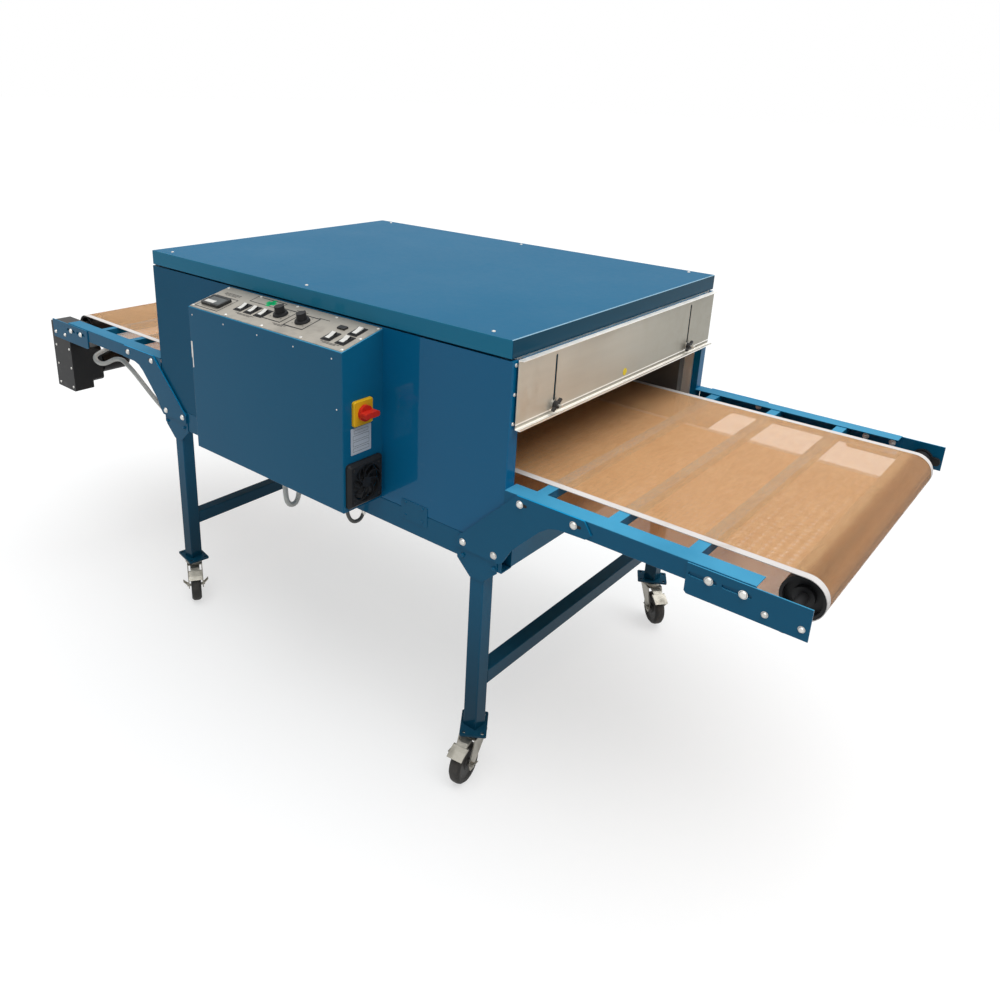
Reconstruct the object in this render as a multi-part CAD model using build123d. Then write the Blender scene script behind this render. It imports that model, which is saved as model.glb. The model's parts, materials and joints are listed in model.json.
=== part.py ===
from build123d import *
import math
import os

# All sizes in mm. x runs along the belt, y across it and z up from the floor.
# Shapes are drawn about the middle of the lid and moved to the shared frame when they are written.

# Levels above the floor
caster_height = 130.0
caster_plate_thickness = 5.0
base_bottom = 578.0
base_height = 62.0
belt_top = 780.5
lid_top = 1102.0

# Housing
sheet = 1.5
body_length = 1276.0
lid_end_margin = 3.0
edge_round = 2.0
body_width = 934.0
lid_depth = 39.0
lid_gap = 5.0
end_flange = 30.0
end_return = 18.0
top_flange = 20.0
bottom_flange = 25.0
wall_inner_half_width = 405.0
wall_end_inset = 44.0
wall_end_strip_length = 25.0
wall_end_strip_inset = 33.0
header_thickness = 5.0
header_half_width = 430.0
header_drop = 187.0
roof_ledge_half_width = 446.5

# Base frame and legs
base_tube_depth = 40.0
base_tube_wall = 2.5
leg_tube = 38.1
leg_tube_wall = 2.0
leg_end_inset = 64.4
cross_tube_centre = 267.0
bracket_thickness = 2.5
bracket_half_width = 55.0
bracket_drop = 38.0
plate_length = 88.0
plate_width = 64.0
plate_hole_spacing = (68.0, 44.0)
plate_hole_radius = 4.5

# Gates
gate_half_width = 455.0
gate_back_gap = 5.2
gate_lip = 13.5
gate_hem_return = 4.0
gate_top_drop = 41.0
gate_bottom_drop = 190.5
gate_slot_y = 318.0
gate_slot_width = 7.0
gate_slot_top_drop = 57.0
gate_travel = 108.0
gate_stud_radius = 3.0

# Belt and rollers
belt_half_width = 381.0
belt_thickness = 1.2
belt_tape_width = 18.0
roller_gap = 0.3
roller_end_radius = 43.0
axle_past_rail = 53.0
shaft_radius = 10.0
bearing_clearance = 0.06
bearing_bolt_reach = 31.0
bearing_ear_radius = 10.0
bearing_flange_radius = 24.0
bearing_flange_depth = 8.0
bearing_hub_radius = 20.0
bearing_hub_depth = 26.0

# Wing rails and what is bolted to them
rail_height = 40.0
rail_flange = 42.0
rail_wall = 2.0
rail_top_over_belt = 0.3
right_rail_length = 534.0
left_rail_length = 549.0
gusset_thickness = 4.0
end_plate_height = 62.0
end_plate_thickness = 3.0
end_plate_drop = 2.8
end_plate_slot = (54.0, 9.0)
right_plate_overlap = 125.0
right_plate_past_axle = 44.0
right_slot_insets = (94.0, 31.0)
left_plate_overlap = 127.0
left_plate_past_axle = 49.0
left_slot_insets = (84.0, 21.0)
slat_reaches = (63.0, 232.0, 401.0)
slat_width = 25.0
slat_height = 20.0

# Drive
cover_past_axle = 68.0
cover_length = 118.0
cover_depth = 67.5
cover_above_axle = 31.5
cover_height = 234.0
motor_radius = 35.0
motor_length = 102.0
motor_offset = 4.0
motor_below_axle = 132.5
gearbox_half_length = 42.0
gearbox_depth = 42.0

# Control box
box_half_length = 281.0
box_depth = 125.0
box_over_base = 2.0
box_top_back_drop = 46.5
box_top_front_drop = 76.5
panel_sheet = 1.5
panel_margin = 3.0
isolator_half = 30.0
isolator_from_front = 58.0
isolator_over_fan = 171.0
fan_over_base = 65.0
fan_half = 55.0
fan_depth = 13.0
fan_bore = 45.0
fan_vanes = 8
joint_plate_x = (345.0, 426.0)

# Places on the control panel, along x and down the slope
controller_place = (-222.0, 83.0)
controller_size = (72.0, 44.0)
controller_rim = 6.0
rocker_places = ((-131.0, 71.0), (-92.0, 71.0), (-52.0, 72.0), (200.0, 84.0), (246.0, 84.0), (241.0, 40.0))
rocker_bezel = (22.0, 30.0)
lamp_place = (195.0, 42.0)
lamp_size = (24.0, 13.0)
speed_knob_place = (-5.0, 56.0)
heat_knob_place = (77.0, 59.0)

# Casters
caster_trail = 42.0
wheel_radius = 50.0
wheel_width = 30.0
fork_gap = 5.0
fork_sheet = 3.0
swivel_gap = 1.0
king_pin_radius = 6.0
brake_pad_half_width = 20.0
king_pin_clearance = 0.05

# Derived levels
body_half_width = body_width / 2
body_half_length = body_length / 2
lid_half_length = body_half_length - lid_end_margin
wall_half_length = body_half_length - wall_end_inset
base_top = base_bottom + base_height
leg_x = body_half_length - leg_end_inset
bracket_bottom = base_bottom - bracket_drop
leg_bottom = caster_height + caster_plate_thickness
leg_y = body_half_width - leg_tube / 2
panel_top = lid_top - lid_depth - lid_gap
header_bottom = lid_top - header_drop
rail_outer = body_half_width + bracket_thickness
rail_top = belt_top + rail_top_over_belt
axle_z = belt_top - roller_end_radius
roller_radius = roller_end_radius - belt_thickness - roller_gap
gusset_outer = rail_outer + gusset_thickness
box_front = -body_half_width - box_depth
box_bottom = base_top + box_over_base
right_rail_end = body_half_length + right_rail_length
left_rail_end = -body_half_length - left_rail_length
idle_axle_x = right_rail_end + axle_past_rail
drive_axle_x = left_rail_end - axle_past_rail
right_end_plate = (right_rail_end - right_plate_overlap, idle_axle_x + right_plate_past_axle)
left_end_plate = (left_rail_end + left_plate_overlap, drive_axle_x - left_plate_past_axle)
cover_x = (drive_axle_x - cover_past_axle, drive_axle_x - cover_past_axle + cover_length)
cover_top = axle_z + cover_above_axle
motor_x = drive_axle_x + motor_offset
motor_z = axle_z - motor_below_axle
fan_y = -body_half_width - box_depth / 2
fan_z = base_top + fan_over_base
isolator_y = box_front + isolator_from_front
isolator_z = fan_z + isolator_over_fan
frame_x = (cover_x[0], right_end_plate[1])
frame_y = (box_front, gusset_outer)
shared_frame = Pos(-(frame_x[0] + frame_x[1]) / 2, -(frame_y[0] + frame_y[1]) / 2, 0)

# Corners in the order front right, rear right, rear left, front left
corner_signs = ((1, -1), (1, 1), (-1, 1), (-1, -1))
corner_names = ("front_right", "rear_right", "rear_left", "front_left")
caster_plate_angles = (124.0, 30.0, 0.0, -10.0)
caster_angles = (-82.0, -39.5, -55.0, -32.0)


def block(x0, x1, y0, y1, z0, z1):
    """Return a box between two opposite corners."""
    return Pos((x0 + x1) / 2, (y0 + y1) / 2, (z0 + z1) / 2) * Box(abs(x1 - x0), abs(y1 - y0), abs(z1 - z0))


def rod_x(x0, x1, y, z, radius):
    """Return a cylinder along x."""
    return Pos((x0 + x1) / 2, y, z) * Rot(0, 90, 0) * Cylinder(radius, abs(x1 - x0))


def rod_y(x, y0, y1, z, radius):
    """Return a cylinder along y."""
    return Pos(x, (y0 + y1) / 2, z) * Rot(90, 0, 0) * Cylinder(radius, abs(y1 - y0))


def rod_z(x, y, z0, z1, radius):
    """Return a cylinder along z."""
    return Pos(x, y, (z0 + z1) / 2) * Cylinder(radius, abs(z1 - z0))


def outline_xz(points, y0, y1):
    """Return a plate with the given outline in x and z, between two values of y."""
    face = make_face(Polyline(*[(x, 0, z) for x, z in points], close=True))
    return Pos(0, y0, 0) * extrude(face, amount=y1 - y0, dir=(0, 1, 0))


def outline_yz(points, x0, x1):
    """Return a bar with the given outline in y and z, between two values of x."""
    face = make_face(Polyline(*[(0, y, z) for y, z in points], close=True))
    return Pos(x0, 0, 0) * extrude(face, amount=x1 - x0, dir=(1, 0, 0))


def both_sides(shape):
    """Return the shape and its mirror image across the belt's middle."""
    return [shape, shape.mirror(Plane.XZ)]


def both_ends(shape):
    """Return the shape and its mirror image at the other end."""
    return [shape, shape.mirror(Plane.YZ)]


def four_corners(shape):
    """Return the shape at all four corners of the machine."""
    return [copy for end in both_ends(shape) for copy in both_sides(end)]


def save(name, shapes):
    """Write one node as a STEP file in the shared frame."""
    solids = [shared_frame * solid for shape in shapes for solid in shape.solids()]
    export_step(solids[0] if len(solids) == 1 else Compound(solids), f"parts/{name}.step")


def lid():
    """Return the sheet lid with its turned-down skirt."""
    outer = block(-lid_half_length, lid_half_length, -body_half_width, body_half_width,
                  lid_top - lid_depth, lid_top)
    outer = fillet(outer.edges().filter_by(Axis.Z) + outer.edges().group_by(Axis.Z)[-1], edge_round)
    inner = block(-lid_half_length + sheet, lid_half_length - sheet, -body_half_width + sheet,
                  body_half_width - sheet, lid_top - lid_depth, lid_top - sheet)
    return [outer - inner]


def side_panels():
    """Return the front and rear panels, each with flanges turned in on all four edges."""
    outer = body_half_width
    face = block(-body_half_length, body_half_length, outer - sheet, outer, base_top, panel_top)
    top = block(-body_half_length, body_half_length, outer - top_flange, outer, panel_top - sheet, panel_top)
    bottom = block(-body_half_length, body_half_length, outer - bottom_flange, outer, base_top, base_top + sheet)
    end = block(body_half_length - sheet, body_half_length, outer - end_flange, outer, base_top, panel_top)
    turned = block(body_half_length - end_return, body_half_length,
                   outer - end_flange, outer - end_flange + sheet, base_top, panel_top - sheet)
    panel = face + top + bottom
    for piece in both_ends(end + turned):
        panel += piece
    corners = [edge for edge in panel.edges().filter_by(Axis.Z)
               if abs(edge.center().Y - outer) < 0.01 and abs(abs(edge.center().X) - body_half_length) < 0.01]
    return both_sides(fillet(corners, edge_round))


def chamber_walls():
    """Return the two insulated side walls of the tunnel, with the narrower strip at each end."""
    outer = body_half_width - sheet
    low = base_top + sheet
    high = panel_top - sheet
    wall = block(-wall_half_length, wall_half_length, wall_inner_half_width, outer, low, high)
    strip_half_length = wall_half_length + wall_end_strip_length
    wall += block(-strip_half_length, strip_half_length, body_half_width - wall_end_strip_inset, outer, low, high)
    return both_sides(wall)


def chamber_roof():
    """Return the insulated roof block between the walls and under the lid."""
    half_length = body_half_length - header_thickness
    high = lid_top - sheet
    middle = block(-half_length, half_length, -wall_inner_half_width, wall_inner_half_width, header_bottom, high)
    ledge = block(-half_length, half_length, -roof_ledge_half_width, roof_ledge_half_width,
                  panel_top - sheet, high)
    short = lid_half_length - sheet
    trimmed = block(-short, short, -roof_ledge_half_width, roof_ledge_half_width, header_bottom, high)
    return [(middle + ledge) & trimmed]


def end_headers():
    """Return the panel above the opening at each end."""
    header = block(body_half_length - header_thickness, body_half_length,
                   -header_half_width, header_half_width, header_bottom, panel_top)
    return both_ends(header)


def bottom_pan():
    """Return the sheet floor of the tunnel, on the base frame."""
    half_width = body_half_width - end_flange - 0.5
    return [block(-body_half_length + sheet, body_half_length - sheet, -half_width, half_width,
                  base_top, base_top + sheet)]


def base_frame():
    """Return the two long base rails with open ends and the two cross members between them."""
    outer = body_half_width
    inner = outer - base_tube_depth
    wall = base_tube_wall
    rail = block(-body_half_length, body_half_length, inner, outer, base_bottom, base_top)
    rail = fillet(rail.edges().filter_by(Axis.X), 4)
    rail -= block(-body_half_length, body_half_length, inner + wall, outer - wall,
                  base_bottom + wall, base_top - wall)
    cross = block(body_half_length - base_tube_depth, body_half_length, -inner, inner, base_bottom, base_top)
    cross = fillet(cross.edges().filter_by(Axis.Y), 4)
    cross -= block(body_half_length - base_tube_depth + wall, body_half_length - wall, -inner, inner,
                   base_bottom + wall, base_top - wall)
    return both_sides(rail) + both_ends(cross)


def legs():
    """Return the four square legs, each with its tapered bracket over the base rail."""
    half = leg_tube / 2
    tube = block(leg_x - half, leg_x + half, leg_y - half, leg_y + half, leg_bottom, base_bottom)
    tube = fillet(tube.edges().filter_by(Axis.Z), 3)
    bore = half - leg_tube_wall
    tube -= block(leg_x - bore, leg_x + bore, leg_y - bore, leg_y + bore, leg_bottom, base_bottom)
    top = base_top - 3
    shoulder = base_bottom - 2
    outline = [
        (leg_x - bracket_half_width, top), (leg_x - bracket_half_width, shoulder),
        (leg_x - half + 2, bracket_bottom), (leg_x + half - 2, bracket_bottom),
        (leg_x + bracket_half_width, shoulder), (leg_x + bracket_half_width, top),
    ]
    bracket = outline_xz(outline, body_half_width, rail_outer)
    return four_corners(tube + bracket)


def cross_tubes():
    """Return the square tube between the front and rear leg at each end."""
    half = leg_tube / 2
    reach = leg_y - half
    tube = block(leg_x - half, leg_x + half, -reach, reach, cross_tube_centre - half, cross_tube_centre + half)
    tube = fillet(tube.edges().filter_by(Axis.Y), 3)
    bore = half - leg_tube_wall
    tube -= block(leg_x - bore, leg_x + bore, -reach, reach, cross_tube_centre - bore, cross_tube_centre + bore)
    return both_ends(tube)


def caster_plates():
    """Return the four drilled caster plates under the legs, each with its fixed race and king pin."""
    plates = []
    for (sign_x, sign_y), angle in zip(corner_signs, caster_plate_angles):
        plate = Pos(0, 0, caster_height + caster_plate_thickness / 2) * Box(plate_length, plate_width,
                                                                             caster_plate_thickness)
        plate = fillet(plate.edges().filter_by(Axis.Z), 5)
        for dx in (-0.5, 0.5):
            for dy in (-0.5, 0.5):
                plate -= rod_z(dx * plate_hole_spacing[0], dy * plate_hole_spacing[1], caster_height,
                               leg_bottom, plate_hole_radius)
        race = Pos(0, 0, caster_height - 4) * Cone(21, 27, 8)
        pin = rod_z(0, 0, caster_height - 24, caster_height, king_pin_radius)
        shape = plate + race + pin
        plates.append(Pos(sign_x * leg_x, sign_y * leg_y, 0) * Rot(0, 0, angle) * shape)
    return plates


def caster_fork():
    """Return one swivel fork about its king pin, trailing along x, with its brake pedal and axle."""
    race_top = caster_height - 8 - swivel_gap
    crown_top = race_top - 6
    crown_bottom = crown_top - fork_sheet
    inner = wheel_width / 2 + fork_gap
    outer = inner + fork_sheet
    race = Pos(0, 0, (race_top + crown_top) / 2) * Cone(27, 23, race_top - crown_top)
    crown = block(-26, 30, -outer, outer, crown_bottom, crown_top)
    arm_outline = [
        (-26, crown_top), (30, crown_top), (caster_trail + 13, wheel_radius + 4),
        (caster_trail + 7, wheel_radius - 11), (caster_trail - 7, wheel_radius - 11),
        (caster_trail - 16, wheel_radius + 2), (-26, crown_bottom - 4),
    ]
    arm = outline_xz(arm_outline, inner, outer)
    arm = fillet(arm.edges().filter_by(Axis.Y).sort_by(Axis.Z)[:4], 5)
    axle = rod_y(caster_trail, -outer - 4, outer + 4, wheel_radius, 4)
    shape = race + crown
    for side in both_sides(arm):
        shape += side
    shape -= rod_z(0, 0, crown_bottom, race_top, king_pin_radius + king_pin_clearance)
    shape += axle
    neck = [
        (28, crown_top - 1), (28, crown_bottom - 1), (46, crown_bottom - 4), (60, crown_bottom - 8),
        (62, crown_bottom - 5), (48, crown_bottom),
    ]
    shape += outline_xz(neck, -14, 14)
    pad = [
        (56, crown_bottom - 4), (57, crown_bottom - 9), (76, crown_bottom - 15), (88, crown_bottom - 22),
        (90, crown_bottom - 20), (78, crown_bottom - 12), (60, crown_bottom - 4),
    ]
    shape += outline_xz(pad, -brake_pad_half_width, brake_pad_half_width)
    ear = outline_yz([(outer - 1, 57), (outer + 4, 57), (outer + 15, 69), (outer + 15, 72), (outer + 3, 60),
                      (outer - 1, 60)], caster_trail - 2, caster_trail + 11)
    for side in both_sides(ear):
        shape += side
    return shape


def caster_wheel():
    """Return one wheel about its axle, with a rounded tread, a recessed hub and a plain bore."""
    half = wheel_width / 2
    profile = Polyline((0, half - 1.5), (14, half - 1.5), (16, half - 4), (32, half - 4), (36, half - 1),
                       (43, half), (48.5, half - 5), (wheel_radius, half - 10), (wheel_radius, -half + 10),
                       (48.5, -half + 5), (43, -half), (36, -half + 1), (32, -half + 4), (16, -half + 4),
                       (14, -half + 1.5), (0, -half + 1.5), close=True)
    tread = revolve(make_face(profile), axis=Axis.Y)
    bore = Rot(90, 0, 0) * Cylinder(4 + king_pin_clearance, wheel_width)
    return Pos(caster_trail, 0, wheel_radius) * (tread - bore)


def gusset_plates():
    """Return the four swept gussets that carry the wings from the base frame."""
    end = body_half_length
    low = base_bottom + 27
    outline = [
        (end + 33, rail_top), (end + 194, rail_top), (end + 212, rail_top - 26),
        (end + 200, rail_top - rail_height + 2), (end + 138, rail_top - rail_height),
        (end + 116, rail_top - 46), (end + 95, rail_top - 61), (end + 62, rail_top - 95),
        (end + 28, rail_top - 131), (end + 7, rail_top - 168), (end - 1, low), (end - 118, low),
        (end - 118, low + 24),
    ]
    return four_corners(outline_xz(outline, rail_outer, gusset_outer))


def wing_rails():
    """Return the four channel rails, open towards the belt."""
    rails = []
    for x0, x1 in ((body_half_length, right_rail_end), (left_rail_end, -body_half_length)):
        outer = block(x0, x1, rail_outer - rail_flange, rail_outer, rail_top - rail_height, rail_top)
        outer = fillet(outer.edges().filter_by(Axis.X).group_by(Axis.Y)[-1], edge_round)
        inner = block(x0, x1, rail_outer - rail_flange, rail_outer - rail_wall,
                      rail_top - rail_height + rail_wall, rail_top - rail_wall)
        rails += both_sides(outer - inner)
    return rails


def end_plates():
    """Return the four slotted end plates outside the rails."""
    high = rail_top - end_plate_drop
    low = high - end_plate_height
    plates = []
    for inner_end, outer_end, sign, rail_end, insets in (
        (*right_end_plate, 1, right_rail_end, right_slot_insets),
        (*left_end_plate, -1, left_rail_end, left_slot_insets),
    ):
        outline = [(inner_end, high), (outer_end, high), (outer_end, low), (inner_end + 5 * sign, low),
                   (inner_end, low + 5)]
        plate = outline_xz(outline, rail_outer, rail_outer + end_plate_thickness)
        for inset in insets:
            slot = Pos(rail_end - inset * sign, rail_outer, high - rail_height / 2) * Rot(90, 0, 0) * extrude(
                SlotOverall(*end_plate_slot), amount=2 * end_plate_thickness, both=True)
            plate -= slot
        plates += both_sides(plate)
    return plates


def belt_slats():
    """Return the inverted channel slats that carry the belt on each wing."""
    half_width = rail_outer - rail_wall
    high = rail_top - rail_wall
    slats = []
    for reach in slat_reaches:
        x = body_half_length + reach
        outer = block(x - slat_width / 2, x + slat_width / 2, -half_width, half_width, high - slat_height, high)
        inner = block(x - slat_width / 2 + rail_wall, x + slat_width / 2 - rail_wall, -half_width, half_width,
                      high - slat_height, high - rail_wall)
        slats += both_ends(outer - inner)
    return slats


def belt_band(y0, y1):
    """Return the part of the endless belt between two values of y."""
    middle = (idle_axle_x + drive_axle_x) / 2
    length = idle_axle_x - drive_axle_x
    outer = SlotCenterToCenter(length, 2 * roller_end_radius)
    inner = SlotCenterToCenter(length, 2 * (roller_end_radius - belt_thickness))
    band = extrude(outer - inner, amount=(y1 - y0) / 2, both=True)
    return Pos(middle, (y0 + y1) / 2, axle_z) * Rot(90, 0, 0) * band


def belt():
    """Return the endless belt without its edge tapes."""
    reach = belt_half_width - belt_tape_width
    return [belt_band(-reach, reach)]


def belt_edge_tapes():
    """Return the reinforcing tape along each edge of the belt."""
    return both_sides(belt_band(belt_half_width - belt_tape_width, belt_half_width))


def roller(axle_x):
    """Return one end roller with recessed ends and its through shaft."""
    reach = belt_half_width - 2
    drum = rod_y(axle_x, -reach, reach, axle_z, roller_radius)
    for sign in (-1, 1):
        drum -= rod_y(axle_x, sign * (reach - 14), sign * reach, axle_z, roller_radius - 6)
        drum += rod_y(axle_x, sign * (reach - 16), sign * (reach - 4), axle_z, 20)
    return drum + rod_y(axle_x, -rail_outer + 1, rail_outer - 1, axle_z, shaft_radius)


def roller_bearings():
    """Return the flange bearings inside the end plates; the drive cover holds the fourth shaft end."""
    def bearing(axle_x):
        face = rail_outer - bearing_flange_depth
        shape = block(axle_x - bearing_bolt_reach, axle_x + bearing_bolt_reach, face, rail_outer,
                      axle_z - bearing_ear_radius, axle_z + bearing_ear_radius)
        shape += rod_y(axle_x, face, rail_outer, axle_z, bearing_flange_radius)
        for x in (axle_x - bearing_bolt_reach, axle_x + bearing_bolt_reach):
            shape += rod_y(x, face, rail_outer, axle_z, bearing_ear_radius)
        inner = rail_outer - bearing_hub_depth
        shape += rod_y(axle_x, inner, rail_outer, axle_z, bearing_hub_radius)
        return shape - rod_y(axle_x, inner, rail_outer, axle_z, shaft_radius + bearing_clearance)
    return both_sides(bearing(idle_axle_x)) + [bearing(drive_axle_x)]


def drive_cover():
    """Return the closed cover over the drive at the front left."""
    shape = block(*cover_x, -rail_outer, -rail_outer + cover_depth, cover_top - cover_height, cover_top)
    shape = fillet(shape.edges().filter_by(Axis.Y), 3)
    return [shape - rod_y(drive_axle_x, -rail_outer, -rail_outer + cover_depth, axle_z,
                          shaft_radius + bearing_clearance)]


def gear_motor():
    """Return the gearbox behind the drive cover and its motor."""
    back = -rail_outer + cover_depth
    gearbox = block(motor_x - gearbox_half_length, motor_x + gearbox_half_length, back, back + gearbox_depth,
                    motor_z - 49, motor_z + 71)
    gearbox = chamfer(gearbox.edges().filter_by(Axis.Y), 8)
    motor_start = back + gearbox_depth + 12
    neck = rod_y(motor_x, back + gearbox_depth, motor_start, motor_z, motor_radius - 7)
    motor = rod_y(motor_x, motor_start, motor_start + motor_length, motor_z, motor_radius)
    motor = chamfer(motor.edges().sort_by(Axis.Y)[-1], 10)
    return [gearbox + neck + motor]


def box_outline(extra):
    """Return the side outline of the control box, raised by a thickness over its sloping top."""
    return [
        (-body_half_width, box_bottom), (-body_half_width, lid_top - box_top_back_drop + extra),
        (box_front, lid_top - box_top_front_drop + extra), (box_front, box_bottom),
    ]


def control_box():
    """Return the closed control box with its sloping top and rounded front edges."""
    box = outline_yz(box_outline(-panel_sheet), -box_half_length, box_half_length)
    front = [edge for edge in box.edges() if abs(edge.center().Y - box_front) < 0.01]
    return [fillet(front, edge_round)]


def panel_place(u, v):
    """Return the frame on the control panel at u along x and v down the slope from the back edge."""
    slope = math.atan2(box_top_front_drop - box_top_back_drop, box_depth)
    y = -body_half_width - v * math.cos(slope)
    z = lid_top - box_top_back_drop - v * math.sin(slope)
    return Pos(u, y, z) * Rot(math.degrees(slope), 0, 0)


def control_panel():
    """Return the steel plate on the slope, set in a little from the box's edges."""
    reach = box_half_length - panel_margin
    top = outline_yz(box_outline(0), -reach, reach) - outline_yz(box_outline(-panel_sheet), -reach, reach)
    return [top & block(-reach, reach, box_front + panel_margin, -body_half_width, box_bottom, lid_top)]


def panel_switches():
    """Return the controller's bezel and the rocker switches."""
    pieces = []
    long, wide = controller_size
    controller = Pos(0, 0, 4) * Box(long, wide, 8)
    controller = fillet(controller.edges().filter_by(Axis.Z), 3)
    controller -= Pos(0, 0, 7.5) * Box(long - 2 * controller_rim, wide - 2 * controller_rim, 1)
    pieces.append(panel_place(*controller_place) * controller)
    for place in rocker_places:
        bezel = Pos(0, 0, 1.25) * Box(*rocker_bezel, 2.5)
        rocker = outline_yz([(-12, 2), (12, 2), (12, 7.5), (0, 4), (-12, 3.2)], -7.5, 7.5)
        pieces.append(panel_place(*place) * (bezel + rocker))
    pieces.append(panel_place(*lamp_place) * Pos(0, 0, 2) * Box(*lamp_size, 4))
    return pieces


def control_knob():
    """Return one skirted knob about its shaft, with its pointer grip."""
    skirt = Pos(0, 0, 3.5) * Cone(19, 17, 5)
    grip = Pos(0, 0, 14) * Cone(12.5, 11, 17)
    pointer = Pos(0, 5.5, 14) * Box(5, 16, 17)
    return skirt + grip + pointer


def isolator_plate():
    """Return the square plate behind the isolator's handle."""
    plate = block(box_half_length, box_half_length + 8, isolator_y - isolator_half, isolator_y + isolator_half,
                  isolator_z - isolator_half, isolator_z + isolator_half)
    plate = fillet(plate.edges().filter_by(Axis.X), 6)
    return [chamfer(plate.edges().group_by(Axis.X)[-1], 2.5)]


def isolator_handle():
    """Return the turning handle of the isolator."""
    x0 = box_half_length + 8.5
    base = rod_x(x0, x0 + 8, isolator_y, isolator_z, 19)
    grip = block(x0 + 8, x0 + 26, isolator_y - 19, isolator_y + 24, isolator_z - 6.5, isolator_z + 6.5)
    grip = fillet(grip.edges().filter_by(Axis.X), 5)
    return [base + grip]


def fan_frame():
    """Return the bevelled guard frame of the cooling fan with its swirl of curved vanes, open between them."""
    frame = block(box_half_length, box_half_length + fan_depth, fan_y - fan_half, fan_y + fan_half,
                  fan_z - fan_half, fan_z + fan_half)
    frame = fillet(frame.edges().filter_by(Axis.X), 9)
    frame = chamfer(frame.edges().group_by(Axis.X)[-1], 7)
    frame -= rod_x(box_half_length, box_half_length + fan_depth, fan_y, fan_z, fan_bore)
    guard_front = box_half_length + fan_depth - 1
    guard_back = guard_front - 2.5
    swirl_radius = fan_bore / 2 + 0.5
    swirl = rod_x(guard_back, guard_front, swirl_radius, 0, swirl_radius + 1.2)
    swirl -= rod_x(guard_back, guard_front, swirl_radius, 0, swirl_radius - 1.2)
    vane = swirl & block(guard_back, guard_front, 0, fan_bore + 2, 0, fan_bore)
    guard = rod_x(guard_back, guard_front, 0, 0, 13)
    for index in range(fan_vanes):
        guard += Rot(index * 360 / fan_vanes, 0, 0) * vane
    guard &= rod_x(guard_back, guard_front, 0, 0, fan_bore + 0.5)
    return [frame + Pos(0, fan_y, fan_z) * guard]


def fan_rotor():
    """Return the fan's hub with its seven blades."""
    x0 = box_half_length + 0.5
    hub = rod_x(x0, x0 + 7, fan_y, fan_z, 17)
    for index in range(7):
        blade = Rot(index * 360 / 7, 0, 0) * Pos(0, 0, 28) * Rot(0, 0, 28) * Box(1.6, 17, 25)
        hub += Pos(x0 + 4, fan_y, fan_z) * blade
    return [hub & rod_x(x0, x0 + 7.5, fan_y, fan_z, 42)]


def rail_joint_plate():
    """Return the small cover plate on the front base rail."""
    plate = block(*joint_plate_x, -body_half_width - sheet, -body_half_width, base_top - 29, base_top + 21)
    return [fillet(plate.edges().filter_by(Axis.Y), 3)]


def gate(sign):
    """Return one lifting gate with its slots and its turned-out lips."""
    x0 = body_half_length + gate_back_gap
    high = lid_top - gate_top_drop
    low = lid_top - gate_bottom_drop
    plate = block(x0, x0 + sheet, -gate_half_width, gate_half_width, low, high)
    plate += block(x0, x0 + gate_lip, -gate_half_width, gate_half_width, high - sheet, high)
    plate += block(x0, x0 + gate_lip, -gate_half_width, gate_half_width, low, low + sheet)
    plate += block(x0 + gate_lip - sheet, x0 + gate_lip, -gate_half_width, gate_half_width,
                   low, low + gate_hem_return)
    slot_top = lid_top - gate_slot_top_drop
    slot_length = gate_travel + gate_slot_width
    for y in (-gate_slot_y, gate_slot_y):
        slot_plane = Plane(origin=(x0, y, slot_top - slot_length / 2), x_dir=(0, 1, 0), z_dir=(1, 0, 0))
        slot = slot_plane * SlotOverall(slot_length, gate_slot_width, rotation=90)
        plate -= extrude(slot, amount=3 * sheet, both=True)
    return [plate if sign > 0 else plate.mirror(Plane.YZ)]


def gate_knobs():
    """Return the studs that the gates slide on, each with its spacer, washer and wing knob."""
    knobs = []
    x0 = body_half_length
    z = lid_top - gate_slot_top_drop - gate_travel - gate_slot_width / 2
    gate_front = x0 + gate_back_gap + sheet
    for y in (-gate_slot_y, gate_slot_y):
        shape = rod_x(x0, gate_front + 22, y, z, gate_stud_radius)
        shape += rod_x(x0, x0 + gate_back_gap - 0.5, y, z, 8)
        shape += rod_x(gate_front + 0.5, gate_front + 2, y, z, 10)
        shape += rod_x(gate_front + 2, gate_front + 12, y, z, 8)
        for angle in (35, 215):
            wing = Pos(gate_front + 8, y, z) * Rot(angle, 0, 0) * Pos(0, 11, 0) * Box(7, 14, 5)
            shape += wing
        knobs += both_ends(shape)
    return knobs


def route_length(points, radii):
    """Return the length of a route with rounded corners."""
    total = sum(math.dist(a, b) for a, b in zip(points, points[1:]))
    for before, corner, after, radius in zip(points, points[1:], points[2:], radii):
        turn = turn_angle(before, corner, after)
        total -= 2 * radius * math.tan(turn / 2) - radius * turn
    return total


def turn_angle(before, corner, after):
    """Return the turn between two runs in radians."""
    first = [b - a for a, b in zip(before, corner)]
    second = [b - a for a, b in zip(corner, after)]
    cosine = sum(a * b for a, b in zip(first, second)) / (math.hypot(*first) * math.hypot(*second))
    return math.acos(max(-1.0, min(1.0, cosine)))


def cord(name, points, radius):
    """Return a tube along straight runs and tangent arcs, and print its radii and its volume check."""
    radii = []
    for before, corner, after in zip(points, points[1:], points[2:]):
        shorter = min(math.dist(before, corner), math.dist(corner, after))
        radii.append(0.45 * shorter / math.tan(turn_angle(before, corner, after) / 2))
    path = FilletPolyline(*points, radius=radii)
    section = Plane(origin=path @ 0, z_dir=path % 0) * Circle(radius)
    tube = sweep(section, path=path, transition=Transition.ROUND)
    expected = math.pi * radius**2 * route_length(points, radii)
    print(name, "radii", [round(value, 1) for value in radii], "length", round(route_length(points, radii), 1),
          "volume ratio", round(tube.volume / expected, 4))
    return [tube]


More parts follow.
